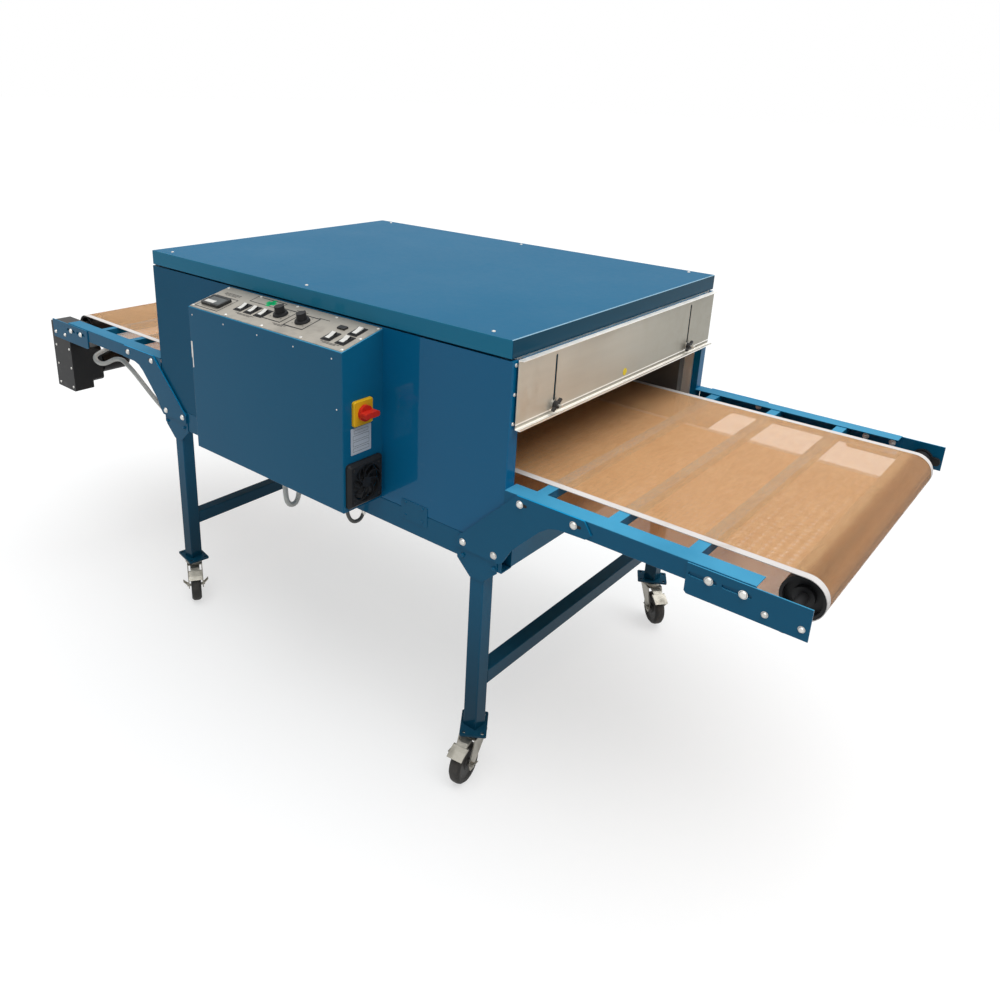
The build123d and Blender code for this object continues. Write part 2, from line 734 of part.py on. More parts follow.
motor_conduit_points = [
    (motor_x, -300, 640), (motor_x, -300, 674), (motor_x + 58, -336, 681), (motor_x + 111, -375, 683),
    (motor_x + 108, -428, 668), (motor_x + 174, -433, 650), (-941, -434, 710), (-880, -434, 690),
    (-828, -432, 659), (-747, -426, 602), (-672, -418, 562), (-605, -410, 554), (-550, -400, 576),
    (-550, -400, base_top),
]
grey_conduit_points = [
    (-44, -497, box_bottom), (-44, -497, 572), (-44, -490, 508), (-44, -447, 508),
    (-44, -447, base_bottom),
]
dark_conduit_points = [
    (197, -506, box_bottom), (197, -506, 586), (197, -484, 545), (197, -446, 547),
    (197, -446, base_bottom),
]

os.makedirs("parts", exist_ok=True)
save("lid", lid())
save("side_panels", side_panels())
save("chamber_walls", chamber_walls())
save("chamber_roof", chamber_roof())
save("end_headers", end_headers())
save("bottom_pan", bottom_pan())
save("base_frame", base_frame())
save("legs", legs())
save("cross_tubes", cross_tubes())
save("caster_plates", caster_plates())
save("gusset_plates", gusset_plates())
save("wing_rails", wing_rails())
save("end_plates", end_plates())
save("belt_slats", belt_slats())
save("belt", belt())
save("belt_edge_tapes", belt_edge_tapes())
save("roller_bearings", roller_bearings())
save("idle_roller", [roller(idle_axle_x)])
save("drive_roller", [roller(drive_axle_x)])
save("drive_cover", drive_cover())
save("gear_motor", gear_motor())
save("control_box", control_box())
save("control_panel", control_panel())
save("panel_switches", panel_switches())
save("speed_knob", [panel_place(*speed_knob_place) * control_knob()])
save("heat_knob", [panel_place(*heat_knob_place) * control_knob()])
save("isolator_plate", isolator_plate())
save("isolator_handle", isolator_handle())
save("fan_frame", fan_frame())
save("fan_rotor", fan_rotor())
save("rail_joint_plate", rail_joint_plate())
save("gate_right", gate(1))
save("gate_left", gate(-1))
save("gate_knobs", gate_knobs())
for (sign_x, sign_y), corner, angle in zip(corner_signs, corner_names, caster_angles):
    place = Pos(sign_x * leg_x, sign_y * leg_y, 0) * Rot(0, 0, angle)
    save(f"caster_fork_{corner}", [place * caster_fork()])
    save(f"caster_wheel_{corner}", [place * caster_wheel()])
save("motor_conduit", cord("motor_conduit", motor_conduit_points, 6.5))
save("grey_box_conduit", cord("grey_box_conduit", grey_conduit_points, 6.3))
save("dark_box_conduit", cord("dark_box_conduit", dark_conduit_points, 4.2))
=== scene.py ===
"""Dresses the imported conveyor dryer: finishes, fastenings, conduits, panel print, lamps and camera."""

import json
import logging
import math
from dataclasses import dataclass, field
from enum import Enum
from functools import reduce
from typing import Callable, Sequence

import bpy
from mathutils import Matrix, Vector

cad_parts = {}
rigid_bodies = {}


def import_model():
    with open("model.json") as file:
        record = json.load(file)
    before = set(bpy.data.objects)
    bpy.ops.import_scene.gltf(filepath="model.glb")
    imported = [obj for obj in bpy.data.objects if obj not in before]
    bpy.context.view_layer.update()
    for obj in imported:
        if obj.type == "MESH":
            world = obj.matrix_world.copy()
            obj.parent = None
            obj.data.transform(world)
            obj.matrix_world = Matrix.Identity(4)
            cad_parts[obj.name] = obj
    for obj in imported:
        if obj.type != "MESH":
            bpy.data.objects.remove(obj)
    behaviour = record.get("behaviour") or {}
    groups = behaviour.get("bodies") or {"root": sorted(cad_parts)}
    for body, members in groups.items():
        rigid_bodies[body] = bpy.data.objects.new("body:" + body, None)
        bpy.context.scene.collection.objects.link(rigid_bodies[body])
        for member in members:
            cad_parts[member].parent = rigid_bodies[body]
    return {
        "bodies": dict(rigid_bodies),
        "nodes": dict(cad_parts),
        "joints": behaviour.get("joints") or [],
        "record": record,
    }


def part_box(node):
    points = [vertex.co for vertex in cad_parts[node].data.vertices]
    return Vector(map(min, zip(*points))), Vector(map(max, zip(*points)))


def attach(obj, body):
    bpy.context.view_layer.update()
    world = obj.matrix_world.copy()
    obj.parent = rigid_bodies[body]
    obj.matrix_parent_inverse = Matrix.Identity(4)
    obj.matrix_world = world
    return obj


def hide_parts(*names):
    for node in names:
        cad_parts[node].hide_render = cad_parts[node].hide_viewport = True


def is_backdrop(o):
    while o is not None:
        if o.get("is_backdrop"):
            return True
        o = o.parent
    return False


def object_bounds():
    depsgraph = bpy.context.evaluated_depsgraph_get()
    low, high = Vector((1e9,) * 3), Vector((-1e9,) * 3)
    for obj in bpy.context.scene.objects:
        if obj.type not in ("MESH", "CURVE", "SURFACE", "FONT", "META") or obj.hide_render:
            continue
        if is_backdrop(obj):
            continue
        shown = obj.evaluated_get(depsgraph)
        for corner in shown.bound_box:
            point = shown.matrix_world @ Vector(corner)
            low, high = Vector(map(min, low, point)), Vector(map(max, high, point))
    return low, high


Colour = tuple[float, float, float]
Place = tuple[float, float, float]
Span = tuple[float, float]
Values = dict[str | int, object]
Piece = bpy.types.Object

log = logging.getLogger("conveyor_dryer")

# The housing's middle lies here in the shared frame, in mm.
HOUSING_MIDDLE = (19.5, 59.25)

# Places that several pieces share, in mm from the housing's middle and the floor.
LID_TOP = 1102.0
BOX_FRONT = -592.0
BOX_SIDE = 281.0
FAN_MIDDLE = (-529.5, 705.0)
PANEL_BACK = (-467.0, 1055.5)
PANEL_SLOPE = math.atan2(30.0, 125.0)

# Places on the sloping panel, in mm along the machine and down the slope from its back edge.
ROCKERS = ((-131, 71), (-92, 71), (-52, 72), (200, 84), (246, 84), (241, 40))
DIALS = ((-5, 56), (77, 59))

CORNERS = ("front_right", "rear_right", "rear_left", "front_left")
BLUE = (0.004, 0.118, 0.235)
PALE_BLUE = (0.01, 0.16, 0.305)


def point(x: float, y: float, z: float) -> Vector:
    """Turns a place in mm from the housing's middle and the floor into metres in the shared frame."""
    return Vector(((x + HOUSING_MIDDLE[0]) / 1000, (y + HOUSING_MIDDLE[1]) / 1000, z / 1000))


class Facing(Enum):
    """The way a fastening or plate looks out from what carries it."""

    FRONT = (0.0, -1.0, 0.0)
    REAR = (0.0, 1.0, 0.0)
    RIGHT = (1.0, 0.0, 0.0)
    LEFT = (-1.0, 0.0, 0.0)
    UP = (0.0, 0.0, 1.0)


class Slot(Enum):
    """The record's material slots."""

    BLUE_PAINT = "blue_paint"
    BELT_MESH = "belt_mesh"
    BELT_TAPE = "belt_tape"
    GALVANISED = "galvanised"
    DARK_LINER = "dark_liner"
    ZINC = "zinc"
    BLACK_PAINT = "black_paint"
    BLACK_PLASTIC = "black_plastic"
    PANEL_STEEL = "panel_steel"
    YELLOW_PLASTIC = "yellow_plastic"
    RED_PLASTIC = "red_plastic"
    GREY_CONDUIT = "grey_conduit"
    DARK_CONDUIT = "dark_conduit"


def arithmetic(operation: str, swapped: bool = False) -> Callable[..., "Wire"]:
    """Turns one operation of the Math node into a method of Wire.

    Args:
        operation: the operation's name.
        swapped: whether the wire comes after the other value.

    Returns:
        The method.
    """

    def method(self: "Wire", *others: "Wire | float") -> "Wire":
        """Adds the Math node and gives its result."""
        return self.graph.maths(operation, *((*others, self) if swapped else (self, *others)))

    return method


@dataclass(frozen=True, eq=False)
class Wire:
    """A shader value that takes part in ordinary arithmetic; a comparison gives 1 where it holds, else 0."""

    graph: "Graph"
    socket: bpy.types.NodeSocket

    __add__ = __radd__ = arithmetic("ADD")
    __sub__ = arithmetic("SUBTRACT")
    __rsub__ = arithmetic("SUBTRACT", swapped=True)
    __mul__ = __rmul__ = arithmetic("MULTIPLY")
    __truediv__ = arithmetic("DIVIDE")
    __gt__ = arithmetic("GREATER_THAN")
    __lt__ = arithmetic("LESS_THAN")
    absolute = arithmetic("ABSOLUTE")
    fraction = arithmetic("FRACT")
    whole = arithmetic("FLOOR")
    sine = arithmetic("SINE")
    most = arithmetic("MAXIMUM")
    least = arithmetic("MINIMUM")

    def near(self, place: float, reach: float) -> "Wire":
        """Gives 1 within reach of a place."""
        return (self - place).absolute() < reach


class Graph:
    """Builds the nodes of one finish or of the surroundings."""

    def __init__(self, owner: bpy.types.Material | bpy.types.World, shader: str = "Principled BSDF") -> None:
        """Turns the owner's nodes on.

        Args:
            owner: what the nodes belong to.
            shader: the name of its shader node.
        """
        owner.use_nodes = True
        self.tree = owner.node_tree
        self.shader = self.tree.nodes[shader]

    def add(self, kind: str, settings: Values | None = None, sockets: Values | None = None) -> bpy.types.Node:
        """Adds any node.

        Args:
            kind: the node's type.
            settings: its own settings, set before the sockets.
            sockets: a value or a wire for each input socket.

        Returns:
            The node.
        """
        node = self.tree.nodes.new(kind)
        for name, value in (settings or {}).items():
            setattr(node, name, value)
        for name, value in (sockets or {}).items():
            self.feed(node.inputs[name], value)
        return node

    def read(self, kind: str, output: str | int, settings: Values, sockets: Values) -> Wire:
        """Adds any node and gives one of its outputs."""
        return Wire(self, self.add(kind, settings, sockets).outputs[output])

    def split(self, value: Wire) -> tuple[Wire, Wire, Wire]:
        """Takes a place or a direction apart into its three values."""
        return tuple(Wire(self, socket) for socket in self.add("ShaderNodeSeparateXYZ", {}, {0: value}).outputs)

    def feed(self, socket: bpy.types.NodeSocket, value: object) -> None:
        """Links a wire to a socket, or sets the socket's own value.

        Args:
            socket: the socket to fill.
            value: a wire, or a value of the kind that the socket takes.
        """
        if isinstance(value, Wire):
            self.tree.links.new(value.socket, socket)
        else:
            socket.default_value = value

    def maths(self, operation: str, *values: "Wire | float") -> Wire:
        """Adds one Math node and gives its result."""
        return self.read("ShaderNodeMath", 0, {"operation": operation}, dict(enumerate(values)))

    def place(self) -> Wire:
        """Gives the place on the object, in metres."""
        node = self.tree.nodes.get("Texture Coordinate") or self.add("ShaderNodeTexCoord")
        return Wire(self, node.outputs["Object"])

    def along(self) -> tuple[Wire, Wire, Wire]:
        """Gives the place on the object as three values."""
        return self.split(self.place())

    def stretched(self, scale: Place) -> Wire:
        """Gives the place on the object, stretched along the axes."""
        return self.read("ShaderNodeMapping", 0, {}, {"Vector": self.place(), "Scale": scale})

    def noise(self, scale: float, detail: float = 3.0, where: Wire | None = None, rough: float = 0.5) -> Wire:
        """Gives a cloudy value about one half.

        Args:
            scale: clouds per metre.
            detail: octaves.
            where: the place to read, or None for the place on the object.
            rough: the share of the fine octaves.

        Returns:
            The value.
        """
        sockets = {"Vector": where or self.place(), "Scale": scale, "Detail": detail, "Roughness": rough}
        return self.read("ShaderNodeTexNoise", "Fac", {}, sockets)

    def cells(self, scale: float) -> Wire:
        """Gives each crystal of a sheet its own value."""
        own = self.read("ShaderNodeTexVoronoi", "Color", {}, {"Vector": self.place(), "Scale": scale})
        return self.read("ShaderNodeSeparateColor", 0, {}, {0: own})

    def ramp(self, value: Wire, low: float, high: float, start: float = 0.0, end: float = 1.0) -> Wire:
        """Spreads a value smoothly from one range over another."""
        sockets = {0: value, 1: low, 2: high, 3: start, 4: end}
        return self.read("ShaderNodeMapRange", 0, {"interpolation_type": "SMOOTHSTEP"}, sockets)

    def blend(self, share: "Wire | float", first: "Wire | Colour", second: "Wire | Colour") -> Wire:
        """Blends two colours.

        Args:
            share: the share of the second.
            first: the first colour.
            second: the second colour.

        Returns:
            The blended colour.
        """
        sockets = {0: share}
        for index, shade in ((6, first), (7, second)):
            sockets[index] = shade if isinstance(shade, Wire) else (*shade, 1.0)
        return self.read("ShaderNodeMix", 2, {"data_type": "RGBA"}, sockets)

    def upward(self) -> Wire:
        """Gives how far the surface looks up, from -1 to 1."""
        return self.split(self.read("ShaderNodeNewGeometry", "Normal", {}, {}))[2]

    def seen(self) -> Wire:
        """Gives 1 to what the camera, a mirror or glass sees, and 0 to the light that falls on the machine.

        Returns:
            The value.
        """
        path = self.add("ShaderNodeLightPath")
        camera, glossy, clear = (path.outputs[f"Is {ray} Ray"] for ray in ("Camera", "Glossy", "Transmission"))
        return Wire(self, camera).most(Wire(self, glossy)).most(Wire(self, clear))

    def set(self, **values: object) -> None:
        """Feeds the shader's sockets, named with _ for a space."""
        for name, value in values.items():
            self.feed(self.shader.inputs[name.replace("_", " ")], value)

    def raise_surface(self, height: Wire, distance: float, strength: float) -> None:
        """Bumps the surface by a height value, over a distance in metres."""
        sockets = {"Height": height, "Distance": distance, "Strength": strength}
        self.set(Normal=self.read("ShaderNodeBump", 0, {}, sockets))


@dataclass(frozen=True)
class Finish:
    """A named finish; each kind paints its own nodes."""

    name: str

    def make(self) -> bpy.types.Material:
        """Makes the material.

        Returns:
            The material.
        """
        material = bpy.data.materials.new(self.name)
        self.paint(Graph(material))
        return material

    def paint(self, graph: Graph) -> None:
        """Feeds the shader; each kind of finish has its own."""
        raise NotImplementedError

    def pick_out(self, graph: Graph, shade: Wire) -> Wire:
        """Gives the colour with single edges picked out in it; a plain finish has none."""
        return shade


@dataclass(frozen=True)
class PowderCoat(Finish):
    """Semi-gloss powder coat: a fine skin, faint clouds, dull dusty tops, a painted shade near the floor, and
    where given a painted sheen on upward faces and painted light towards the right end.
    """

    colour: Colour = BLUE
    pale: Colour = PALE_BLUE
    # Painted shade: the colour that the parts near the floor are darkened towards.
    low: Colour = (0.004, 0.045, 0.08)
    dusty: Colour = (0.4, 0.46, 0.5)
    # Painted sheen: a lighter colour for upward faces, where they catch the light.
    top: Colour | None = None
    lit: Colour | None = None
    lit_span: Span = (-0.7, 0.45)
    top_span: Span = (0.1, 0.9)
    low_span: Span = (0.2, 0.66)
    roughness: float = 0.32
    skin_depth: float = 0.00005
    side_gloss: float = 0.22
    coat_roughness: float = 0.1
    coat_left: float = 1.0

    def paint(self, graph: Graph) -> None:
        """Paints the coat.

        Args:
            graph: the material's nodes.
        """
        x, y, z = graph.along()
        looks_up = graph.ramp(graph.upward(), 0.4, 0.9)
        clouds = graph.noise(2.4, 3.0)
        fine = graph.noise(60.0, 4.0)
        rubs = graph.ramp(graph.noise(9.0, 6.0, graph.stretched((1.0, 1.0, 3.0)), 0.7), 0.62, 0.8)
        dust = looks_up * graph.ramp(graph.noise(5.0, 5.0), 0.3, 0.8)
        shade = graph.blend(clouds * 0.4 + fine * 0.15, self.colour, self.pale)
        if self.lit:
            shade = graph.blend(graph.ramp(x, *self.lit_span), shade, self.lit)
        # Painted sheen on the upward faces, strongest towards the front right.
        if self.top:
            near = graph.ramp(x - y * 0.8, *self.top_span, 0.35, 1.0)
            patchy_sheen = (0.5 + graph.noise(7.0, 4.0) * 0.8).least(1.0)
            shade = graph.blend(looks_up * near * patchy_sheen, shade, self.top)
        # Painted shade: the parts near the floor are darkened, where less light reaches them.
        shade_near_floor = 1 - graph.ramp(z + clouds * 0.08, *self.low_span)
        shade = graph.blend(shade_near_floor * 0.85, shade, self.low)
        shade = graph.blend(dust * 0.03 + rubs * 0.03, shade, self.dusty)
        graph.set(
            Base_Color=self.pick_out(graph, shade),
            Roughness=self.roughness + (fine - 0.5) * 0.08 + rubs * 0.1 + looks_up * 0.12,
            Specular_IOR_Level=0.03,
            Coat_Weight=self.side_gloss * (1 - looks_up * 0.85) * graph.ramp(x, -0.7, 0.3, self.coat_left, 1.0),
            Coat_Roughness=self.coat_roughness,
        )
        graph.raise_surface(graph.noise(420.0, 2.0), self.skin_depth, 0.35)


@dataclass(frozen=True)
class LidCoat(PowderCoat):
    """Powder coat with a painted shade on the end faces, painted light on the long faces and painted highlights
    along the top's folded edges.
    """

    half_length: float = 0.635
    half_depth: float = 0.467
    height: float = LID_TOP / 1000
    face_skin: float = 0.0003
    end_line: Span = (0.0024, 0.0012)
    side_line: Span = (0.0016, 0.0008)
    end_face: Colour = (0.002, 0.06, 0.11)
    side_face: Colour = (0.02, 0.22, 0.37)
    end_edge: Colour = (0.4, 0.62, 0.76)
    side_edge: Colour = (0.1, 0.3, 0.44)

    def pick_out(self, graph: Graph, shade: Wire) -> Wire:
        """Paints a shade on the end faces, light on the long faces and highlights along the folded edges, told
        apart by their place.

        Args:
            graph: the material's nodes.
            shade: the sheet's colour so far.

        Returns:
            The colour with the painted shade, light and highlights.
        """
        x, y, z = graph.along()
        middle = point(0, 0, 0)
        out_x = (x - middle.x).absolute()
        out_y = (y - middle.y).absolute()
        on_end_highlight = (out_x > self.half_length - self.end_line[0]) * (z > self.height - self.end_line[1])
        on_side_highlight = (out_y > self.half_depth - self.side_line[0]) * (z > self.height - self.side_line[1])
        # Painted shade on the end faces and painted light on the long faces.
        shade = graph.blend(out_x > self.half_length - self.face_skin, shade, self.end_face)
        shade = graph.blend(out_y > self.half_depth - self.face_skin, shade, self.side_face)
        # Painted highlights along the top's folded edges.
        shade = graph.blend(on_side_highlight * 0.5, shade, self.side_edge)
        return graph.blend(on_end_highlight * 0.8, shade, self.end_edge)


@dataclass(frozen=True)
class MeshBelt(Finish):
    """Coated open glass mesh: flat strands both ways, heat-browned in clouds, with the holes left open; painted
    shade where it bends round the end rollers and on the return run.
    """

    colour: Colour = (1.0, 0.62, 0.3)
    dark: Colour = (0.78, 0.38, 0.16)
    bent_dark: Colour = (0.45, 0.17, 0.05)
    pitch: float = 0.002
    strand: float = 0.27
    return_strand: float = 0.16
    soft: float = 0.08
    axle_right: float = 1.2445
    axle_left: float = -1.2205
    axle_height: float = 0.7375
    roller: float = 0.043
    return_drop: float = 0.02
    bend: Span = (0.015, 0.005)

    def travel(self, graph: Graph, x: Wire, z: Wire) -> Wire:
        """Gives the place along the belt, carried round each end roller.

        Args:
            graph: the belt's graph.
            x: the place along the machine.
            z: the height.

        Returns:
            The place along the belt, in metres.
        """
        above = z - self.axle_height
        right = (x - self.axle_right).most(0.0)
        left = (self.axle_left - x).most(0.0)
        turned_right = graph.maths("ARCTAN2", right, above) * self.roller
        turned_left = graph.maths("ARCTAN2", left, above) * self.roller
        return x + (x > self.axle_right) * (turned_right - right) - (x < self.axle_left) * (turned_left - left)

    def paint(self, graph: Graph) -> None:
        """Weaves the belt.

        Args:
            graph: the material's nodes.
        """
        x, y, z = graph.along()
        run = self.travel(graph, x, z) / self.pitch
        across = y / self.pitch
        from_warp = (across.fraction() - 0.5).absolute() * 2
        from_weft = (run.fraction() - 0.5).absolute() * 2
        returning = z < self.axle_height - self.return_drop
        opened = 1 - self.strand - returning * self.return_strand
        warp = graph.ramp(from_warp, opened - self.soft, opened + self.soft)
        weft = graph.ramp(from_weft, opened - self.soft, opened + self.soft)
        over = ((run.whole() + across.whole()) * 0.5).fraction() * 2
        height = over * warp + (1 - over) * weft
        clouds = graph.noise(5.0, 4.0, graph.stretched((1.0, 2.6, 1.0)))
        threads = graph.noise(220.0, 2.0, graph.stretched((0.12, 1.0, 1.0)))
        weave = graph.noise(220.0, 2.0, graph.stretched((1.0, 0.12, 1.0)))
        browned = graph.ramp(graph.noise(120.0, 5.0, graph.stretched((1.0, 0.3, 1.0)), 0.7), 0.4, 0.62)
        shade = graph.blend(0.3 + clouds * 0.3 + threads * 0.25 + weave * 0.25, self.dark, self.colour)
        # Heat-browned clouds, and a little painted shade on the return run below the top run.
        shade = graph.blend(browned * 0.4 + returning * 0.1, shade, self.dark)
        # Painted shade where the belt bends round the end rollers.
        before, after = self.bend
        bend_shade_share = graph.ramp(x, self.axle_right - before, self.axle_right + after)
        bend_shade_share = bend_shade_share.most(1 - graph.ramp(x, self.axle_left - after, self.axle_left + before))
        shade = graph.blend(bend_shade_share * 0.55, shade, self.bent_dark)
        graph.set(
            Base_Color=shade, Roughness=0.55 - clouds * 0.12, Specular_IOR_Level=0.35, Alpha=warp.most(weft)
        )
        graph.raise_surface(height + threads * 0.3, 0.0004, 0.6)


@dataclass(frozen=True)
class EdgeTape(Finish):
    """Woven tape sewn along the belt's edges, with its cross ribs and faint brown marks."""

    colour: Colour = (0.78, 0.74, 0.72)
    stain: Colour = (0.5, 0.4, 0.32)
    rib: float = 0.0016

    def paint(self, graph: Graph) -> None:
        """Weaves the tape.

        Args:
            graph: the material's nodes.
        """
        x, y, z = graph.along()
        ribs = (((x + z) / self.rib) * math.tau).sine()
        warp = ((y / (self.rib * 0.8)) * math.tau).sine()
        stain = graph.ramp(graph.noise(14.0, 5.0), 0.5, 0.85)
        shade = graph.blend(stain * 0.6 + ribs * 0.05, self.colour, self.stain)
        graph.set(Base_Color=shade, Roughness=0.75 + stain * 0.1, Specular_IOR_Level=0.25)
        graph.raise_surface(ribs * 0.5 + warp * 0.4, 0.00025, 0.5)


@dataclass(frozen=True)
class Galvanised(Finish):
    """Dull galvanised sheet: crystals, brushed streaks, cloudy heat stains, and a painted shade to the rear."""

    colour: Colour = (0.68, 0.62, 0.54)
    dark: Colour = (0.4, 0.38, 0.34)
    warm: Colour = (0.52, 0.44, 0.34)
    # Painted shade: the colour that the sheet darkens to towards the rear.
    far: Colour = (0.25, 0.24, 0.2)
    roughness: float = 0.42

    def paint(self, graph: Graph) -> None:
        """Paints the sheet.

        Args:
            graph: the material's nodes.
        """
        _, y, _ = graph.along()
        crystals = graph.cells(38.0) * 0.6 + graph.cells(110.0) * 0.4
        clouds = graph.noise(5.0, 3.0, graph.stretched((1.0, 1.0, 0.35)))
        streaks = graph.noise(90.0, 3.0, graph.stretched((1.0, 0.03, 1.0)))
        stain = graph.ramp(graph.noise(3.0, 4.0, graph.stretched((1.0, 0.5, 2.0))), 0.45, 0.8)
        shade = graph.blend(0.2 + crystals * 0.16 + clouds * 0.5 + streaks * 0.14, self.dark, self.colour)
        shade = graph.blend(stain * 0.5, shade, self.warm)
        # Painted shade, darker towards the rear.
        shade = graph.blend(graph.ramp(y, -0.5, 0.5) * 0.75, shade, self.far)
        graph.set(
            Base_Color=self.pick_out(graph, shade),
            Metallic=0.85 - stain * 0.25,
            Roughness=self.roughness + crystals * 0.14 + stain * 0.1,
        )
        graph.raise_surface(crystals + streaks, 0.00004, 0.2)


@dataclass(frozen=True)
class GateSheet(Galvanised):
    """Galvanised sheet of the gates, with painted highlights along the folds at its top and foot and a painted
    shadow line between.
    """

    colour: Colour = (0.77, 0.725, 0.63)
    dark: Colour = (0.45, 0.44, 0.39)
    foot: float = 0.9115
    top: float = 1.061
    top_fold: float = 0.0045
    foot_fold: float = 0.003
    bead: Span = (0.0115, 0.0016)
    groove: Span = (0.0075, 0.002)
    bright: Colour = (1.0, 0.98, 0.94)
    shadow: Colour = (0.16, 0.15, 0.13)

    def pick_out(self, graph: Graph, shade: Wire) -> Wire:
        """Paints highlights on the folds and a shadow in the groove, told apart by their height.

        Args:
            graph: the material's nodes.
            shade: the sheet's colour so far.

        Returns:
            The colour with the folds picked out.
        """
        _, _, z = graph.along()
        on_bead_highlight = z.near(self.foot + self.bead[0], self.bead[1])
        on_groove_shadow = z.near(self.foot + self.groove[0], self.groove[1])
        folds = (z > self.top - self.top_fold).most(on_bead_highlight).most(z < self.foot + self.foot_fold)
        # Painted shadow in the groove and painted highlights on the folds.
        shade = graph.blend(on_groove_shadow * 0.5, shade, self.shadow)
        return graph.blend(folds * 0.9, shade, self.bright)


@dataclass(frozen=True)
class TunnelLiner(Finish):
    """Lining painted dark for the shade inside the tunnel, with sooty clouds, whose outer ends are a bright
    galvanised strip.
    """

    dark: Colour = (0.06, 0.062, 0.06)
    sooty: Colour = (0.17, 0.165, 0.155)
    bright: Colour = (0.86, 0.82, 0.76)
    strip_start: float = 0.594

    def paint(self, graph: Graph) -> None:
        """Paints the lining.

        Args:
            graph: the material's nodes.
        """
        x, _, _ = graph.along()
        strip = (x - point(0, 0, 0).x).absolute() > self.strip_start
        soot = graph.noise(6.0, 5.0)
        crystals = graph.cells(60.0)
        graph.set(
            # Painted shade: the lining inside the strips is dark for the shade in the tunnel.
            Base_Color=graph.blend(strip, graph.blend(soot, self.dark, self.sooty), self.bright),
            Metallic=strip * 0.8,
            Roughness=0.7 - strip * 0.25 + crystals * 0.1,
            Specular_IOR_Level=0.3,
        )
        graph.raise_surface(soot * 0.6 + crystals * 0.4, 0.0001, 0.3)


@dataclass(frozen=True)
class Metal(Finish):
    """Plated or brushed metal: fine grain along one way, and cloudy tarnish."""

    colour: Colour
    dull: Colour
    roughness: float = 0.3
    grain: Place = (1.0, 1.0, 1.0)
    grain_scale: float = 260.0
    metallic: float = 0.9

    def paint(self, graph: Graph) -> None:
        """Paints the metal.

        Args:
            graph: the material's nodes.
        """
        grain = graph.noise(self.grain_scale, 4.0, graph.stretched(self.grain))
        tarnish = graph.ramp(graph.noise(24.0, 5.0), 0.42, 0.78)
        graph.set(
            Base_Color=graph.blend(tarnish * 0.6 + grain * 0.3, self.colour, self.dull),
            Metallic=self.metallic - tarnish * 0.15,
            Roughness=self.roughness + grain * 0.16 + tarnish * 0.12,
        )
        graph.raise_surface(grain, 0.00004, 0.35)


@dataclass(frozen=True)
class Moulded(Finish):
    """Moulded plastic or painted casting with a fine grain, faint clouds and a rubbed sheen."""

    colour: Colour
    worn: Colour
    roughness: float = 0.45
    grain: float = 900.0
    depth: float = 0.00004

    def paint(self, graph: Graph) -> None:
        """Paints the moulding.

        Args:
            graph: the material's nodes.
        """
        grain = graph.noise(self.grain, 2.0)
        clouds = graph.noise(20.0, 4.0)
        wear = graph.ramp(graph.noise(35.0, 5.0), 0.55, 0.8)
        graph.set(
            Base_Color=graph.blend(clouds * 0.35 + wear * 0.35, self.colour, self.worn),
            Roughness=self.roughness + grain * 0.1 - wear * 0.08,
            Specular_IOR_Level=0.25,
        )
        graph.raise_surface(grain, self.depth, 0.4)


@dataclass(frozen=True)
class Smooth(Moulded):
    """Smooth plastic or printed film, with a finer skin."""

    grain: float = 500.0
    depth: float = 0.00002


@dataclass(frozen=True)
class SwitchPlastic(Finish):
    """Black switch frames whose raised actuators carry a painted white highlight, told apart by their height
    over the sloping panel.

    The lamp stays black, and the controller's screen has a grey glass with a painted white highlight strip.
    """

    black: Colour = (0.012, 0.012, 0.012)
    white: Colour = (0.78, 0.76, 0.72)
    glass: Colour = (0.12, 0.13, 0.13)
    actuator: float = 0.0031
    rocker_half: float = 0.0064
    lamp: Span = (0.2145, -0.449)
    lamp_half: Span = (0.013, 0.009)
    screen_right: float = -0.15
    screen_heights: Span = (0.0068, 0.0072)
    strip_right: float = -0.196
    strip_back: float = -0.492

    def paint(self, graph: Graph) -> None:
        """Paints the switches.

        Args:
            graph: the material's nodes.
        """
        x, y, z = graph.along()
        edge = point(0, *PANEL_BACK)
        height = (z - edge.z) * math.cos(PANEL_SLOPE) - (y - edge.y) * math.sin(PANEL_SLOPE)
        on_rocker = reduce(Wire.most, [x.near(point(u, 0, 0).x, self.rocker_half) for u, _ in ROCKERS])
        on_lamp = x.near(self.lamp[0], self.lamp_half[0]) * y.near(self.lamp[1], self.lamp_half[1])
        # Painted highlight: the raised half of each rocker is white, where it catches the light.
        white = on_rocker * (height > self.actuator) * (1 - on_lamp)
        low, high = self.screen_heights
        screen = (x < self.screen_right) * (height > low) * (height < high)
        # Painted highlight: a white strip on the screen's glass.
        strip = screen * (x < self.strip_right) * (y < self.strip_back)
        grain = graph.noise(700.0, 2.0)
        shade = graph.blend(white, self.black, self.white)
        shade = graph.blend(screen * 0.7, shade, self.glass)
        shade = graph.blend(strip * 0.9, shade, self.white)
        graph.set(Base_Color=shade, Roughness=0.4 + grain * 0.1, Specular_IOR_Level=0.4)
        graph.raise_surface(grain, 0.00003, 0.3)


@dataclass(frozen=True)
class StudAndKnob(Finish):
    """Plated stud, spacer and washer with a black moulded wing knob between them, told apart by the way out."""

    plate: Colour = (0.72, 0.7, 0.66)
    dull: Colour = (0.45, 0.43, 0.39)
    black: Colour = (0.014, 0.014, 0.015)
    knob_from: float = 0.6468
    knob_to: float = 0.6569

    def paint(self, graph: Graph) -> None:
        """Paints the studs and knobs.

        Args:
            graph: the material's nodes.
        """
        x, _, _ = graph.along()
        out = (x - point(0, 0, 0).x).absolute()
        knob = (out > self.knob_from) * (out < self.knob_to)
        grain = graph.noise(420.0, 3.0)
        shade = graph.blend(knob, graph.blend(grain * 0.5, self.plate, self.dull), self.black)
        graph.set(Base_Color=shade, Metallic=0.9 - knob * 0.9, Roughness=0.3 + knob * 0.18 + grain * 0.1)
        graph.raise_surface(grain, 0.00004, 0.3)


